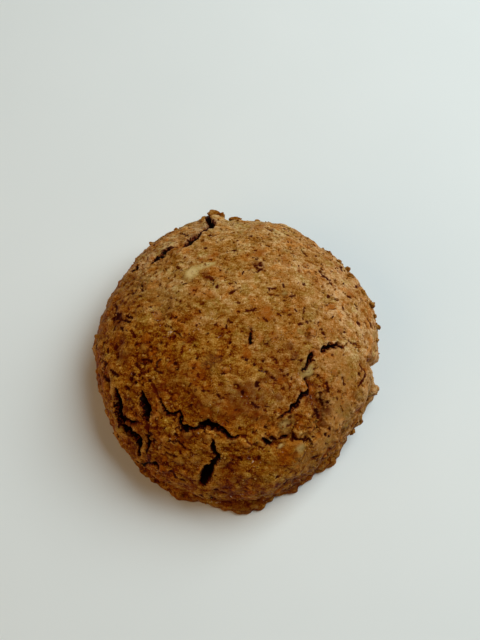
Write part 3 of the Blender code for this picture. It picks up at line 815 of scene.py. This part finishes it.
def make_crust():
    dough = ball_of_dough()
    press_onto(dough, tree_of(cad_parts["cookie"]))
    mark_group(dough, "free", smooth_step(points_of(dough)[:, 2], *RIM_EASE))
    soften(dough, SOFTENING_ROUNDS)
    close_underside(dough)
    smooth = points_of(dough)
    tree = tree_of(dough)
    # painted shade: this front-left mask also darkens the crust's colour, besides roughening its relief
    browned_and_shaded = browning_and_shade(smooth)
    free = smooth_step(smooth[:, 2], *RELIEF_EASE)
    calm = 0.35 + 0.65 * smooth_step(unevenness(smooth, CALM_SIZE, SEEDS["calm"]), *CALM_EDGE)
    bare = patch_mask(smooth, tree, SMOOTH_LOBES, SEEDS["lobes"])
    foot = 0.3 + 0.7 * smooth_step(smooth[:, 2], *CALM_FOOT)
    mark_group(dough, "craggy", free * foot * (0.25 + 0.75 * browned_and_shaded) * calm * (1.0 - 0.85 * bare))
    mark_group(dough, "crumbly", free * calm * (1.0 - 0.6 * bare) * (0.65 + 0.35 * browned_and_shaded))
    shape_softly(dough, smooth, tree)
    texture_relief(dough, "CLOUDS", CRAGS, "craggy", noise_depth=1)
    texture_relief(dough, "VORONOI", LUMPS, "craggy")
    texture_relief(dough, "MUSGRAVE", WRINKLES, "crumbly", musgrave_type="RIDGED_MULTIFRACTAL",
                   octaves=2.0, noise_intensity=0.5)
    flake_the_crust(dough, free * (1.0 - 0.7 * bare) * (0.4 + 0.6 * foot))
    layer_the_wall(dough)
    swelling, swelling_tone = raise_swellings(dough, smooth, browned_and_shaded, bare)
    nut, nut_paleness = nut_masks(smooth, tree)
    bed_the_nuts(dough, smooth, nut)
    crack = open_cracks(dough, smooth, tree)
    mark_group(dough, "free", smooth_step(crack, -0.9, -0.3))
    soften(dough, CRACK_SOFTENING_ROUNDS)
    texture_relief(dough, "CLOUDS", CRUMBLES, "crumbly", noise_depth=1)
    texture_relief(dough, "CLOUDS", FINE_GRAIN, "crumbly", noise_depth=1)
    black = press_marks(dough, smooth, placed_marks(tree, BLACK_SPOTS, BLACK_STROKES)
                        + stray_marks(smooth, STRAY_BLACK_MARKS, MARK_SEED))
    red = press_marks(dough, smooth, placed_marks(tree, RED_SPOTS, RED_STROKES)
                      + stray_marks(smooth, STRAY_RED_MARKS, MARK_SEED + 1))
    points = points_of(dough)
    points[:, 2] = np.where(smooth[:, 2] < RIM_EASE[0], 0.0, np.maximum(points[:, 2], 0.0))
    set_points(dough, points)
    masks = {"crack": crack, "black_mark": black, "red_mark": red, "swelling": swelling,
             "swelling_tone": swelling_tone, "nut": nut, "nut_paleness": nut_paleness,
             "browned_and_shaded": browned_and_shaded, "bare": bare}
    # painted shade: the hollow and valley masks darken the crust's colour
    for name, (rounds, scale) in SHADED_HOLLOWS.items():
        masks[name] = hollowness(dough, rounds, scale)
    patches = {"pale": PALE_AND_LIT_PATCHES, "orange": ORANGE_PATCHES, "red": RED_AND_SHADED_PATCHES, "olive": OLIVE_PATCHES}
    for seed, (name, places) in enumerate(patches.items(), start=SEEDS["patches"]):
        masks[name] = patch_mask(smooth, tree, places, seed)
    for name, values in masks.items():
        paint(dough, name, values)
    dough.vertex_groups.clear()
    hold(dough)
    bpy.ops.object.shade_smooth()
    return dough


# === Small pieces ===
def pebbles(name):
    """Irregular chips, one unit across, from balls whose points are moved in and out."""
    count, segments, rings = CHIPS[name]
    chips = []
    for seed in range(SEEDS[name], SEEDS[name] + count):
        deselect_all()
        bpy.ops.mesh.primitive_uv_sphere_add(segments=segments, ring_count=rings, radius=0.5,
                                             location=(0.0, 0.0, 0.0))
        chip = added(name)
        points = points_of(chip)
        bumps = sum(height * unevenness(points, size, seed + index)
                    for index, (size, height) in enumerate(CHIP_BUMPS))
        set_points(chip, points * (1.0 + bumps)[:, None])
        chips.append(chip)
    return chips


def scatter(name, chips, places):
    """Joins many turned, scaled copies of some chips into one piece."""
    corners, sides, first = [], [], 0
    shapes = [(points_of(chip), sides_of(chip)) for chip in chips]
    for number, matrix in enumerate(places):
        points, polygons = shapes[number % len(shapes)]
        corners.append(points @ np.array(matrix.to_3x3()).T + np.array(matrix.translation))
        sides += [tuple(first + corner for corner in polygon) for polygon in polygons]
        first += len(points)
    mesh = bpy.data.meshes.new(name)
    mesh.from_pydata(np.concatenate(corners).tolist(), [], sides)
    mesh.update()
    piece = bpy.data.objects.new(name, mesh)
    bpy.context.scene.collection.objects.link(piece)
    for chip in chips:
        bpy.data.objects.remove(chip)
    hold(piece)
    bpy.ops.object.shade_smooth()
    return piece


def lie_on(point, normal, size, turn, proud):
    """Matrix that lays a unit chip on the crust, standing out by a share of its height."""
    upright = normal.to_track_quat("Z", "Y").to_matrix().to_4x4()
    shift = Matrix.Translation(point + normal * (proud * size[2] - size[2] / 2.0))
    return shift @ upright @ Matrix.Rotation(turn, 4, "Z") @ Matrix.Diagonal((*size, 1.0))


def drawn_places(body, draw, count, lowest):
    """Yields seeded places on the crust, each with the way out of it."""
    points = points_of(body)
    outward = normals_of(body)
    free = np.nonzero(points[:, 2] > lowest)[0]
    for _ in range(count):
        index = int(draw.choice(free))
        yield Vector(points[index]), Vector(outward[index])


def make_rim_crumbs(tree):
    places = []
    for *place, length, width, height, turn in RIM_CRUMBS:
        size = Vector((length, width, height)) * MM
        places.append(lie_on(*on_crust(tree, place), size, math.radians(turn), RIM_CRUMB_PROUD))
    return scatter("rim_crumbs", pebbles("crumb_chip"), places)


def make_loose_crumbs(body):
    """Crumbs of dough half sunk in the crust all over it, each turned its own way."""
    draw = random.Random(CRUMB_SEED)
    places = []
    for point, outward in drawn_places(body, draw, LOOSE_CRUMBS, CRUMBS_ABOVE):
        size = draw.uniform(*LOOSE_CRUMB_SIZE)
        turn = Euler([draw.uniform(0.0, math.tau) for _ in range(3)]).to_matrix().to_4x4()
        width = size * draw.uniform(*LOOSE_CRUMB_WIDTH)
        scale = Matrix.Diagonal((size, width, size * draw.uniform(*LOOSE_CRUMB_HEIGHT), 1.0))
        places.append(Matrix.Translation(point + outward * size * LOOSE_CRUMB_PROUD) @ turn @ scale)
    return scatter("crust_crumbs", pebbles("grain_chip"), places)


def make_flecks(body):
    """Thin shavings of chocolate that lie in the surface of the crust."""
    draw = random.Random(FLECK_SEED)
    places = []
    for point, outward in drawn_places(body, draw, FLECKS, FLECKS_ABOVE):
        length = draw.uniform(*FLECK_LENGTH)
        size = (length, length * draw.uniform(*FLECK_WIDTH), length * FLECK_HEIGHT)
        places.append(lie_on(point, outward, size, draw.uniform(0.0, math.tau), FLECK_PROUD))
    return scatter("chocolate_flecks", pebbles("fleck_chip"), places)


# === Materials ===
def tone(red, green, blue):
    """A colour given as it looks on a screen, 0 to 255, as the linear values shaders use."""
    def linear(value):
        share = value / 255.0
        return share / 12.92 if share <= 0.04045 else ((share + 0.055) / 1.055) ** 2.4
    return (linear(red), linear(green), linear(blue), 1.0)


# How baked dough looks, from scorched to pale: (place on the scale, colour)
BAKED_TONES = (
    (0.00, tone(42, 5, 4)), (0.14, tone(82, 20, 4)), (0.30, tone(112, 51, 5)), (0.46, tone(136, 83, 15)),
    (0.62, tone(158, 109, 46)), (0.80, tone(179, 131, 73)), (1.00, tone(206, 166, 112)),
)
ORANGE = tone(144, 70, 4)
RED_BROWN = tone(91, 29, 3)
MAROON = tone(70, 9, 2)
DEEP_MAROON = tone(60, 6, 2)
BLACK_BROWN = tone(42, 3, 2)
# painted shade: near black at the bottom of the cracks
CRACK_SHADE = tone(8, 1, 1)
OLIVE = tone(126, 102, 48)
# painted highlight: pale glint specks over the front left
PAINTED_GLINT = tone(206, 180, 156)
NUT_FLESH = tone(180, 148, 84)
NUT_PALE = tone(204, 176, 116)
NUT_SKIN = tone(146, 98, 36)
CHOCOLATE = tone(50, 14, 6)
FLOOR_TONES = (tone(222, 227, 224), tone(230, 234, 231))
FLOOR_CLOUD = 1.0 / 12.0  # metres
WARMER = (1.0, 0.77, 0.46, 1.0)  # what a warm or a cool spot does to the colour under it
COOLER = (0.88, 1.0, 0.82, 1.0)
SHADE_SIDE_TINT = (1.0, 0.97, 0.55, 1.0)  # painted shade: a richer, warmer tint over the front left
LIT_SIDE_TINT = (1.0, 0.93, 0.97, 1.0)  # painted light: a pinker tint on the right side, where the window falls
WARM_SHEEN = (1.0, 0.65, 0.30, 1.0)
GLINT = 0.60  # how glossy the glossiest spots are
GLINT_ROUGHNESS = 0.28

# Noises that mottle baked dough: (times finer than the patches, detail, roughness, distortion, weight)
MOTTLES = {
    "patches": (1.0, 2.0, 0.5, 0.5, 0.52), "blots": (3.1, 2.0, 0.6, 0.4, 0.64),
    "grain": (7.8, 2.0, 0.75, 0.0, 0.42), "fine grain": (21.0, 1.0, 0.6, 0.0, 0.85),
    "streaks": (8.0, 2.0, 0.7, 0.0, 0.66),
}
STREAK_SCALE = (0.32, 1.35, 1.0)  # along and across the streaks
CROWD_SIZE = 6.0 * MM  # how far apart blotches crowd together
CROWDING = 0.45
BLOTCH_EDGE = (0.0, 0.05)  # values of the noise between which a blotch ends
# Kinds of blotches: (size, cover, shift); a higher cover leaves fewer of them
BLOTCH_KINDS = {
    "dark": (2.2 * MM, 0.12, 0.0), "pale": (1.1 * MM, 0.15, 0.31), "orange": (2.6 * MM, 0.14, 0.57),
    "specks": (0.95 * MM, 0.185, 0.83), "pores": (0.75 * MM, 0.11, 1.71),
    # glossy: specks of painted highlight; glints: a real glossy coat
    "glossy": (0.7 * MM, 0.215, 2.11), "glints": (0.8 * MM, 0.22, 1.37),
}
THREAD_SIZE = 2.2 * MM  # how far the fine threads wander
THREAD_BREAKS = THREAD_SIZE / 1.7
THREAD_EDGE = (0.022, 0.010)  # values of the noise between which a thread, or a break in it, ends
BREAK_EDGE = (0.04, 0.07)
LUMP_FINENESS = 0.55  # of the grain's lumps, for its noise
FINEST = 0.36 * MM
WARMTH_SIZE = 4.0 * MM
SMEAR_SIZE = 1.6 * MM
# Ramps: (from, to), and what they give at either end where that isn't 0 and 1
FINEST_RAMP = (0.3, 1.0, 0.0, 0.30)  # grain and blotches of the browner front left, in painted shade
DARK_RAMP = (0.40, 0.90, -0.16, -0.28)
PALE_RAMP = (0.40, 0.90, 0.10, 0.20)
PORE_RAMP = (0.40, 0.90)
DARKEST_RAMP = (0.35, 0.75)
SHADE_SIDE_RAMP = (0.55, 0.95, 0.0, 0.9)
WARM_RAMP = (0.01, 0.15, 0.0, 0.95)
COOL_RAMP = (-0.15, -0.01, 0.80, 0.0)
LIT_SIDE_RAMP = (0.0, 24.0 * MM)
SCORCHED_RAMP = (0.2 * MM, 3.0 * MM, 0.45, 0.0)
SWELLING_FACE = (-0.05, 0.50)  # in parts of EDGE_RANGE from an edge
SWELLING_RIM_OUT = (-0.60, -0.25)
SWELLING_RIM_IN = (0.15, -0.10)
RIM_BREAKS = (-0.02, 0.10)
ORANGE_KINDS = (0.45, 0.40)  # tones of the swellings that look orange; the next look like nut skin
NUT_KINDS = (0.62, 0.67)
NUT_FACE = (-0.20, 0.40)  # in parts of the nut piece's half size from its edge
NUT_HEART = (0.15, 0.75)
SMEAR_RAMP = (0.0, 0.22)
MARK_RIM = (-0.45, -0.05)
MARK_FACE = (-0.05, 0.20)
CHOCOLATE_RAMP = (-0.2, 0.25)
ROUGHNESS_RAMP = (0.3, 0.7)
STAIN_LEVEL = 0.25  # added to the grain that the patches of colour follow
# Baked surfaces: name: (patch size, (matte, glossy) roughness, specular, (size, crease, height) of the grain)
BAKED_SURFACES = {
    "baked_crust": (7.0 * MM, (0.70, 0.42), 0.04, (0.42 * MM, 0.5, 0.11 * MM)),
    "browned_crumb": (5.0 * MM, (0.8, 0.5), 0.10, (0.40 * MM, 0.6, 0.14 * MM)),
    "dark_chocolate": (3.0 * MM, (0.60, 0.35), 0.12, (0.3 * MM, 0.4, 0.05 * MM)),
}

BAKE_LEVEL = 0.725  # the scale's middle for crust
CRUMB_LEVEL = 0.50
# How much the masks stored on the crust move it along the scale
# painted shade: hollows, valleys and the front left; painted light: some of the pale patches
BAKE_WEIGHTS = {"browned_and_shaded": -0.345, "hollow": -0.16, "valley": -0.10, "pale": 0.16}
BARE_LEVEL = 0.64  # where smooth crust lies on the scale
BARE_HOLD = 0.7  # and how much it keeps to it
# How much fine and coarse noise frays the edge of a mask
FRAYING = {
    "swelling": (0.96, 0.0), "nut": (0.60, 0.0), "red_mark": (1.68, 2.2), "black_mark": (1.68, 2.2),
    "crack": (1.44, 1.3),
}
FRAY_SIZES = (0.5 * MM, 1.1 * MM)
PATCH_COLOURS = (("orange", 0.90, ORANGE), ("olive", 0.80, OLIVE), ("red", 0.95, RED_BROWN))
# Painted shade deepening towards the middle of a crack: (from, to, strength, colour)
CRACK_SHADE_COLOURS = (
    (-0.90, -0.25, 0.50, RED_BROWN), (-0.32, -0.12, 0.95, MAROON), (-0.14, 0.12, 1.0, CRACK_SHADE),
)


def feed(tree, node, inputs):
    """Gives each named input a number, a colour or another node's output."""
    for name, value in inputs.items():
        if isinstance(value, bpy.types.NodeSocket):
            tree.links.new(value, node.inputs[name])
        else:
            node.inputs[name].default_value = value


def put(tree, kind, inputs, **settings):
    """Adds a shader node."""
    node = tree.nodes.new("ShaderNode" + kind)
    set_all(node, settings)
    feed(tree, node, inputs)
    return node


def mix(tree, share, first, second, mode="MIX"):
    return put(tree, "Mix", {0: share, 6: first, 7: second},
               data_type="RGBA", blend_type=mode, clamp_factor=True).outputs[2]


def maths(tree, operation, first, second=0.0):
    return put(tree, "Math", {0: first, 1: second}, operation=operation).outputs[0]


def times(tree, first, second):
    return maths(tree, "MULTIPLY", first, second)


def minus(tree, first, second):
    return maths(tree, "SUBTRACT", first, second)


def between(tree, value, low, high, out_low=0.0, out_high=1.0):
    """Maps a value's range to another, without overshooting, along a smooth step."""
    return put(tree, "MapRange", {0: value, 1: low, 2: high, 3: out_low, 4: out_high},
               interpolation_type="SMOOTHSTEP").outputs[0]


def attribute(tree, name):
    return put(tree, "Attribute", {}, attribute_name=name).outputs["Fac"]


def total(tree, terms, result=0.0):
    """Adds up values, each times its weight, onto a first one."""
    for value, weight in terms:
        result = put(tree, "Math", {0: value, 1: weight, 2: result}, operation="MULTIPLY_ADD").outputs[0]
    return result


def noise_value(tree, place, size, detail=2.0, roughness=0.6, distortion=0.0):
    """Noise of a size, centred on 0, about -0.3 to 0.3."""
    fac = put(tree, "TexNoise", {"Vector": place, "Scale": maths(tree, "DIVIDE", 1.0, size), "Detail": detail,
                                 "Roughness": roughness, "Distortion": distortion}).outputs["Fac"]
    return minus(tree, fac, 0.5)


def object_place(tree):
    return put(tree, "TexCoord", {}).outputs["Object"]


def new_group(name, inputs, outputs):
    """A shader node group with number inputs: its tree, what it is given, its result and its place."""
    tree = bpy.data.node_groups.new(name, "ShaderNodeTree")
    for label in inputs:
        tree.interface.new_socket(name=label, in_out="INPUT", socket_type="NodeSocketFloat")
    for label, kind in outputs.items():
        tree.interface.new_socket(name=label, in_out="OUTPUT", socket_type="NodeSocket" + kind)
    given = tree.nodes.new("NodeGroupInput").outputs
    return tree, given, tree.nodes.new("NodeGroupOutput"), object_place(tree)


def use(tree, group, inputs):
    return put(tree, "Group", inputs, node_tree=group).outputs


def mottle_group():
    """How well baked each spot is: patches, blots and grain, and streaks drawn out one way."""
    tree, given, result, place = new_group("baked_mottle", ("Patch Size",),
                                           {"Bake": "Float", "Grain": "Float"})
    drawn_out = put(tree, "Mapping", {"Vector": place, "Rotation": (0.0, 0.0, -STREAK_TURN),
                                      "Scale": STREAK_SCALE}).outputs[0]
    fields = {}
    for name, (finer, detail, roughness, distortion, _) in MOTTLES.items():
        size = times(tree, given["Patch Size"], 1.0 / finer)
        where = drawn_out if name == "streaks" else place
        fields[name] = noise_value(tree, where, size, detail, roughness, distortion)
    bake = total(tree, [(field, MOTTLES[name][-1]) for name, field in fields.items()])
    feed(tree, result, {"Bake": bake, "Grain": maths(tree, "ADD", fields["grain"], 0.5)})
    return tree


def tones_group():
    """Turns a place on the scale from scorched to pale into a colour."""
    tree, given, result, _ = new_group("baked_tones", ("Bake",), {"Color": "Color"})
    ramp = put(tree, "ValToRGB", {0: given["Bake"]})
    stops = ramp.color_ramp.elements
    while len(stops) < len(BAKED_TONES):
        stops.new(0.5)
    for stop, (place, colour) in zip(stops, BAKED_TONES):
        stop.position = place
        stop.color = colour
    feed(tree, result, {"Color": ramp.outputs["Color"]})
    return tree


def blotch_group():
    """A mask of irregular small blotches that crowd together in places."""
    tree, given, result, place = new_group("ragged_blotches", ("Size", "Cover", "Shift"), {"Mask": "Float"})
    moved = put(tree, "VectorMath", {0: place, 1: given["Shift"]}, operation="ADD").outputs[0]
    spots = noise_value(tree, moved, given["Size"], 3.0, 0.65, 0.6)
    crowd = noise_value(tree, moved, CROWD_SIZE, 1.0)
    over = minus(tree, total(tree, ((crowd, CROWDING),), spots), given["Cover"])
    feed(tree, result, {"Mask": between(tree, over, *BLOTCH_EDGE)})
    return tree


def grain_group():
    """Height of the fine baked grain, for Bump."""
    tree, given, result, place = new_group("baked_grain", ("Size", "Crease"), {"Height": "Float"})
    fine = noise_value(tree, place, given["Size"], 3.0, 0.7)
    scale = maths(tree, "DIVIDE", LUMP_FINENESS, given["Size"])
    lumps = put(tree, "TexVoronoi", {"Vector": place, "Scale": scale}, feature="SMOOTH_F1")
    creases = times(tree, lumps.outputs["Distance"], given["Crease"])
    feed(tree, result, {"Height": minus(tree, fine, creases)})
    return tree


MOTTLE = mottle_group()
TONES = tones_group()
BLOTCHES = blotch_group()
GRAIN = grain_group()


def blotches(tree, kind):
    size, cover, shift = BLOTCH_KINDS[kind]
    return use(tree, BLOTCHES, {"Size": size, "Cover": cover, "Shift": shift})["Mask"]


def fine_threads(tree, place):
    """A mask of fine broken threads that wander over the surface."""
    field = maths(tree, "ABSOLUTE", noise_value(tree, place, THREAD_SIZE, 1.5, 0.5, 0.8))
    thread = between(tree, field, *THREAD_EDGE)
    broken = noise_value(tree, place, THREAD_BREAKS)
    return times(tree, thread, between(tree, broken, *BREAK_EDGE))


def baked_material(name, surface):
    """One of the baked surfaces; a function gives its shader's other inputs from the mottle."""
    patch_size, roughness, specular, (size, crease, height) = BAKED_SURFACES[name]
    material = bpy.data.materials.new(name)
    material.use_nodes = True
    tree = material.node_tree
    mottle = use(tree, MOTTLE, {"Patch Size": patch_size})
    bumps = use(tree, GRAIN, {"Size": size, "Crease": crease})["Height"]
    bump = put(tree, "Bump", {"Strength": 1.0, "Distance": height, "Height": bumps})
    feed(tree, tree.nodes["Principled BSDF"], {
        "Roughness": between(tree, mottle["Grain"], *ROUGHNESS_RAMP, *roughness),
        "Specular IOR Level": specular, "Specular Tint": WARM_SHEEN,
        "Normal": bump.outputs["Normal"], **surface(tree, mottle)})
    return material


def lay_over(tree, colour, layers):
    """Lays colours over another one after the other, each as (mask, strength, colour)."""
    for mask, strength, over in layers:
        colour = mix(tree, times(tree, mask, strength), colour, over)
    return colour


def baked_colour(tree, mottle, place, browned_and_shaded, bare):
    """The crust's colour without nuts, specks, marks or cracks, painted shade and some painted light
    included.
    """
    terms = [(attribute(tree, name), weight) for name, weight in BAKE_WEIGHTS.items()]
    bake = total(tree, terms, maths(tree, "ADD", mottle["Bake"], BAKE_LEVEL))
    held = times(tree, bare, BARE_HOLD)
    bake = put(tree, "Mix", {0: held, 2: bake, 3: BARE_LEVEL}, data_type="FLOAT").outputs[0]
    fine = noise_value(tree, place, FINEST, 1.0)
    bake = total(tree, (
        (fine, between(tree, browned_and_shaded, *FINEST_RAMP)),
        (blotches(tree, "dark"), between(tree, browned_and_shaded, *DARK_RAMP)),
        (blotches(tree, "pale"), between(tree, browned_and_shaded, *PALE_RAMP))), bake)
    colour = use(tree, TONES, {"Bake": bake})["Color"]
    warmth = noise_value(tree, place, WARMTH_SIZE, 3.0, 0.65, 0.5)
    sideways = put(tree, "SeparateXYZ", {0: place}).outputs[0]
    # painted shade: the front left gets a richer, warmer tint
    shade_side_share = times(tree, between(tree, browned_and_shaded, *SHADE_SIDE_RAMP), minus(tree, 1.0, bare))
    # painted light: a pinker tint grows towards the window-lit right side
    tints = ((between(tree, warmth, *WARM_RAMP), WARMER), (between(tree, warmth, *COOL_RAMP), COOLER),
             (between(tree, sideways, *LIT_SIDE_RAMP), LIT_SIDE_TINT), (shade_side_share, SHADE_SIDE_TINT))
    for share, tint in tints:
        colour = mix(tree, share, colour, tint, "MULTIPLY")
    return colour


def crust_surface(tree, mottle):
    place = object_place(tree)
    # the front-left mask carries painted shade as well as browning
    browned_and_shaded = attribute(tree, "browned_and_shaded")
    fray, coarse_fray = (noise_value(tree, place, size) for size in FRAY_SIZES)
    masks = {name: total(tree, ((fray, fine), (coarse_fray, coarse)), attribute(tree, name))
             for name, (fine, coarse) in FRAYING.items()}
    colour = baked_colour(tree, mottle, place, browned_and_shaded, attribute(tree, "bare"))

    swelling = masks["swelling"]
    over = between(tree, swelling, *SWELLING_FACE)
    kind = attribute(tree, "swelling_tone")
    rim = times(tree, between(tree, swelling, *SWELLING_RIM_OUT), between(tree, swelling, *SWELLING_RIM_IN))
    colour = lay_over(tree, colour, (
        (times(tree, over, between(tree, kind, *ORANGE_KINDS)), 0.55, ORANGE),
        (times(tree, over, between(tree, kind, *NUT_KINDS)), 0.45, NUT_SKIN),
        (times(tree, rim, between(tree, coarse_fray, *RIM_BREAKS)), 0.75, MAROON)))

    flesh = mix(tree, between(tree, masks["nut"], *NUT_HEART), NUT_FLESH, NUT_PALE)
    smear = between(tree, noise_value(tree, place, SMEAR_SIZE, 3.0), *SMEAR_RAMP)
    flesh = mix(tree, attribute(tree, "nut_paleness"), NUT_SKIN, mix(tree, smear, flesh, NUT_SKIN))
    colour = mix(tree, between(tree, masks["nut"], *NUT_FACE), colour, flesh)

    stain = maths(tree, "ADD", mottle["Grain"], STAIN_LEVEL)
    colour = lay_over(tree, colour, ((blotches(tree, "orange"), 0.35, ORANGE),))
    colour = lay_over(tree, colour, [(times(tree, attribute(tree, name), stain), strength, patch)
                                     for name, strength, patch in PATCH_COLOURS])
    pores = times(tree, blotches(tree, "pores"), between(tree, browned_and_shaded, *PORE_RAMP))
    darkest = mix(tree, between(tree, browned_and_shaded, *DARKEST_RAMP), DEEP_MAROON, BLACK_BROWN)
    colour = lay_over(tree, colour, (
        (fine_threads(tree, place), 0.65, MAROON), (blotches(tree, "specks"), 0.70, MAROON),
        # painted highlight: pale glint specks, most on the front left
        (pores, 0.32, RED_BROWN), (times(tree, blotches(tree, "glossy"), browned_and_shaded), 0.75, PAINTED_GLINT),
        (between(tree, masks["red_mark"], *MARK_FACE), 0.85, MAROON),
        (between(tree, masks["black_mark"], *MARK_RIM), 0.65, MAROON),
        (between(tree, masks["black_mark"], *MARK_FACE), 0.95, darkest)))
    # painted shade deepening into the cracks
    colour = lay_over(tree, colour, [(between(tree, masks["crack"], start, end), strength, floor)
                                     for start, end, strength, floor in CRACK_SHADE_COLOURS])
    height = put(tree, "SeparateXYZ", {0: place}).outputs[2]
    colour = mix(tree, between(tree, height, *SCORCHED_RAMP), colour, RED_BROWN)
    return {"Base Color": colour, "Coat Weight": times(tree, blotches(tree, "glints"), GLINT),
            "Coat Roughness": GLINT_ROUGHNESS}


def crumb_surface(tree, mottle):
    bake = maths(tree, "ADD", mottle["Bake"], CRUMB_LEVEL)
    return {"Base Color": use(tree, TONES, {"Bake": bake})["Color"]}


def chocolate_surface(tree, mottle):
    light = between(tree, mottle["Bake"], *CHOCOLATE_RAMP)
    return {"Base Color": mix(tree, light, CHOCOLATE, RED_BROWN)}


def floor_material():
    material = bpy.data.materials.new("pale_floor")
    material.use_nodes = True
    tree = material.node_tree
    cloudy = noise_value(tree, object_place(tree), FLOOR_CLOUD, 3.0)
    colour = mix(tree, maths(tree, "ADD", cloudy, 0.5), *FLOOR_TONES)
    feed(tree, tree.nodes["Principled BSDF"],
         {"Base Color": colour, "Roughness": 0.9, "Specular IOR Level": 0.2})
    return material


# === Studio ===
CAMERA_CLIMB = math.radians(66.0)  # above the horizon
CAMERA_DISTANCE = 270.0 * MM
CAMERA_TARGET = Vector((0.37, 11.1, 8.0)) * MM
LENS = 56.2  # millimetres, on a film whose longer side is FILM
FILM = 36.0
NEAREST = 0.01  # metres from the camera; nothing nearer is drawn
FLOOR_SIZE = 4.0
# Lights: name: (place, size, power, colour)
LIGHTS = {
    "window": ((0.37, 0.21, 0.56), 0.58, 5.5, (0.86, 0.95, 1.0)),
    "room": ((-1.10, -0.70, 0.75), 1.6, 9.5, (1.0, 0.60, 0.25)),
}
SURROUNDINGS = {"Color": (0.86, 0.93, 0.95, 1.0), "Strength": 0.08}


def make_camera():
    data = bpy.data.cameras.new("camera")
    set_all(data, {"lens": LENS, "sensor_width": FILM, "clip_start": NEAREST})
    camera = bpy.data.objects.new("camera", data)
    back = Vector((0.0, -math.cos(CAMERA_CLIMB), math.sin(CAMERA_CLIMB)))
    camera.location = CAMERA_TARGET + back * CAMERA_DISTANCE
    camera.rotation_euler = (math.pi / 2.0 - CAMERA_CLIMB, 0.0, 0.0)
    bpy.context.scene.collection.objects.link(camera)
    bpy.context.scene.camera = camera


def make_light(name, place, size, power, colour):
    data = bpy.data.lights.new(name, "AREA")
    set_all(data, {"shape": "SQUARE", "size": size, "energy": power, "color": colour})
    light = bpy.data.objects.new(name, data)
    light.location = place
    light.rotation_euler = (-Vector(place)).to_track_quat("-Z", "Y").to_euler()
    bpy.context.scene.collection.objects.link(light)


def make_studio():
    deselect_all()
    bpy.ops.mesh.primitive_plane_add(size=FLOOR_SIZE, location=(0.0, 0.0, 0.0))
    floor = added("floor")
    floor.data.materials.append(floor_material())
    for name, settings in LIGHTS.items():
        make_light(name, *settings)
    world = bpy.data.worlds.new("room")
    world.use_nodes = True
    feed(world.node_tree, world.node_tree.nodes["Background"], SURROUNDINGS)
    bpy.context.scene.world = world
    bpy.context.scene.view_settings.view_transform = "Standard"


# === The whole ===
make_camera()
make_studio()

crust = make_crust()
rim_crumbs = make_rim_crumbs(tree_of(crust))
loose_crumbs = make_loose_crumbs(crust)
flecks = make_flecks(crust)

browned_crumb = baked_material("browned_crumb", crumb_surface)
crust.data.materials.append(baked_material("baked_crust", crust_surface))
rim_crumbs.data.materials.append(browned_crumb)
loose_crumbs.data.materials.append(browned_crumb)
flecks.data.materials.append(baked_material("dark_chocolate", chocolate_surface))

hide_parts("cookie")
for piece in (crust, rim_crumbs, loose_crumbs, flecks):
    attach(piece, "root")
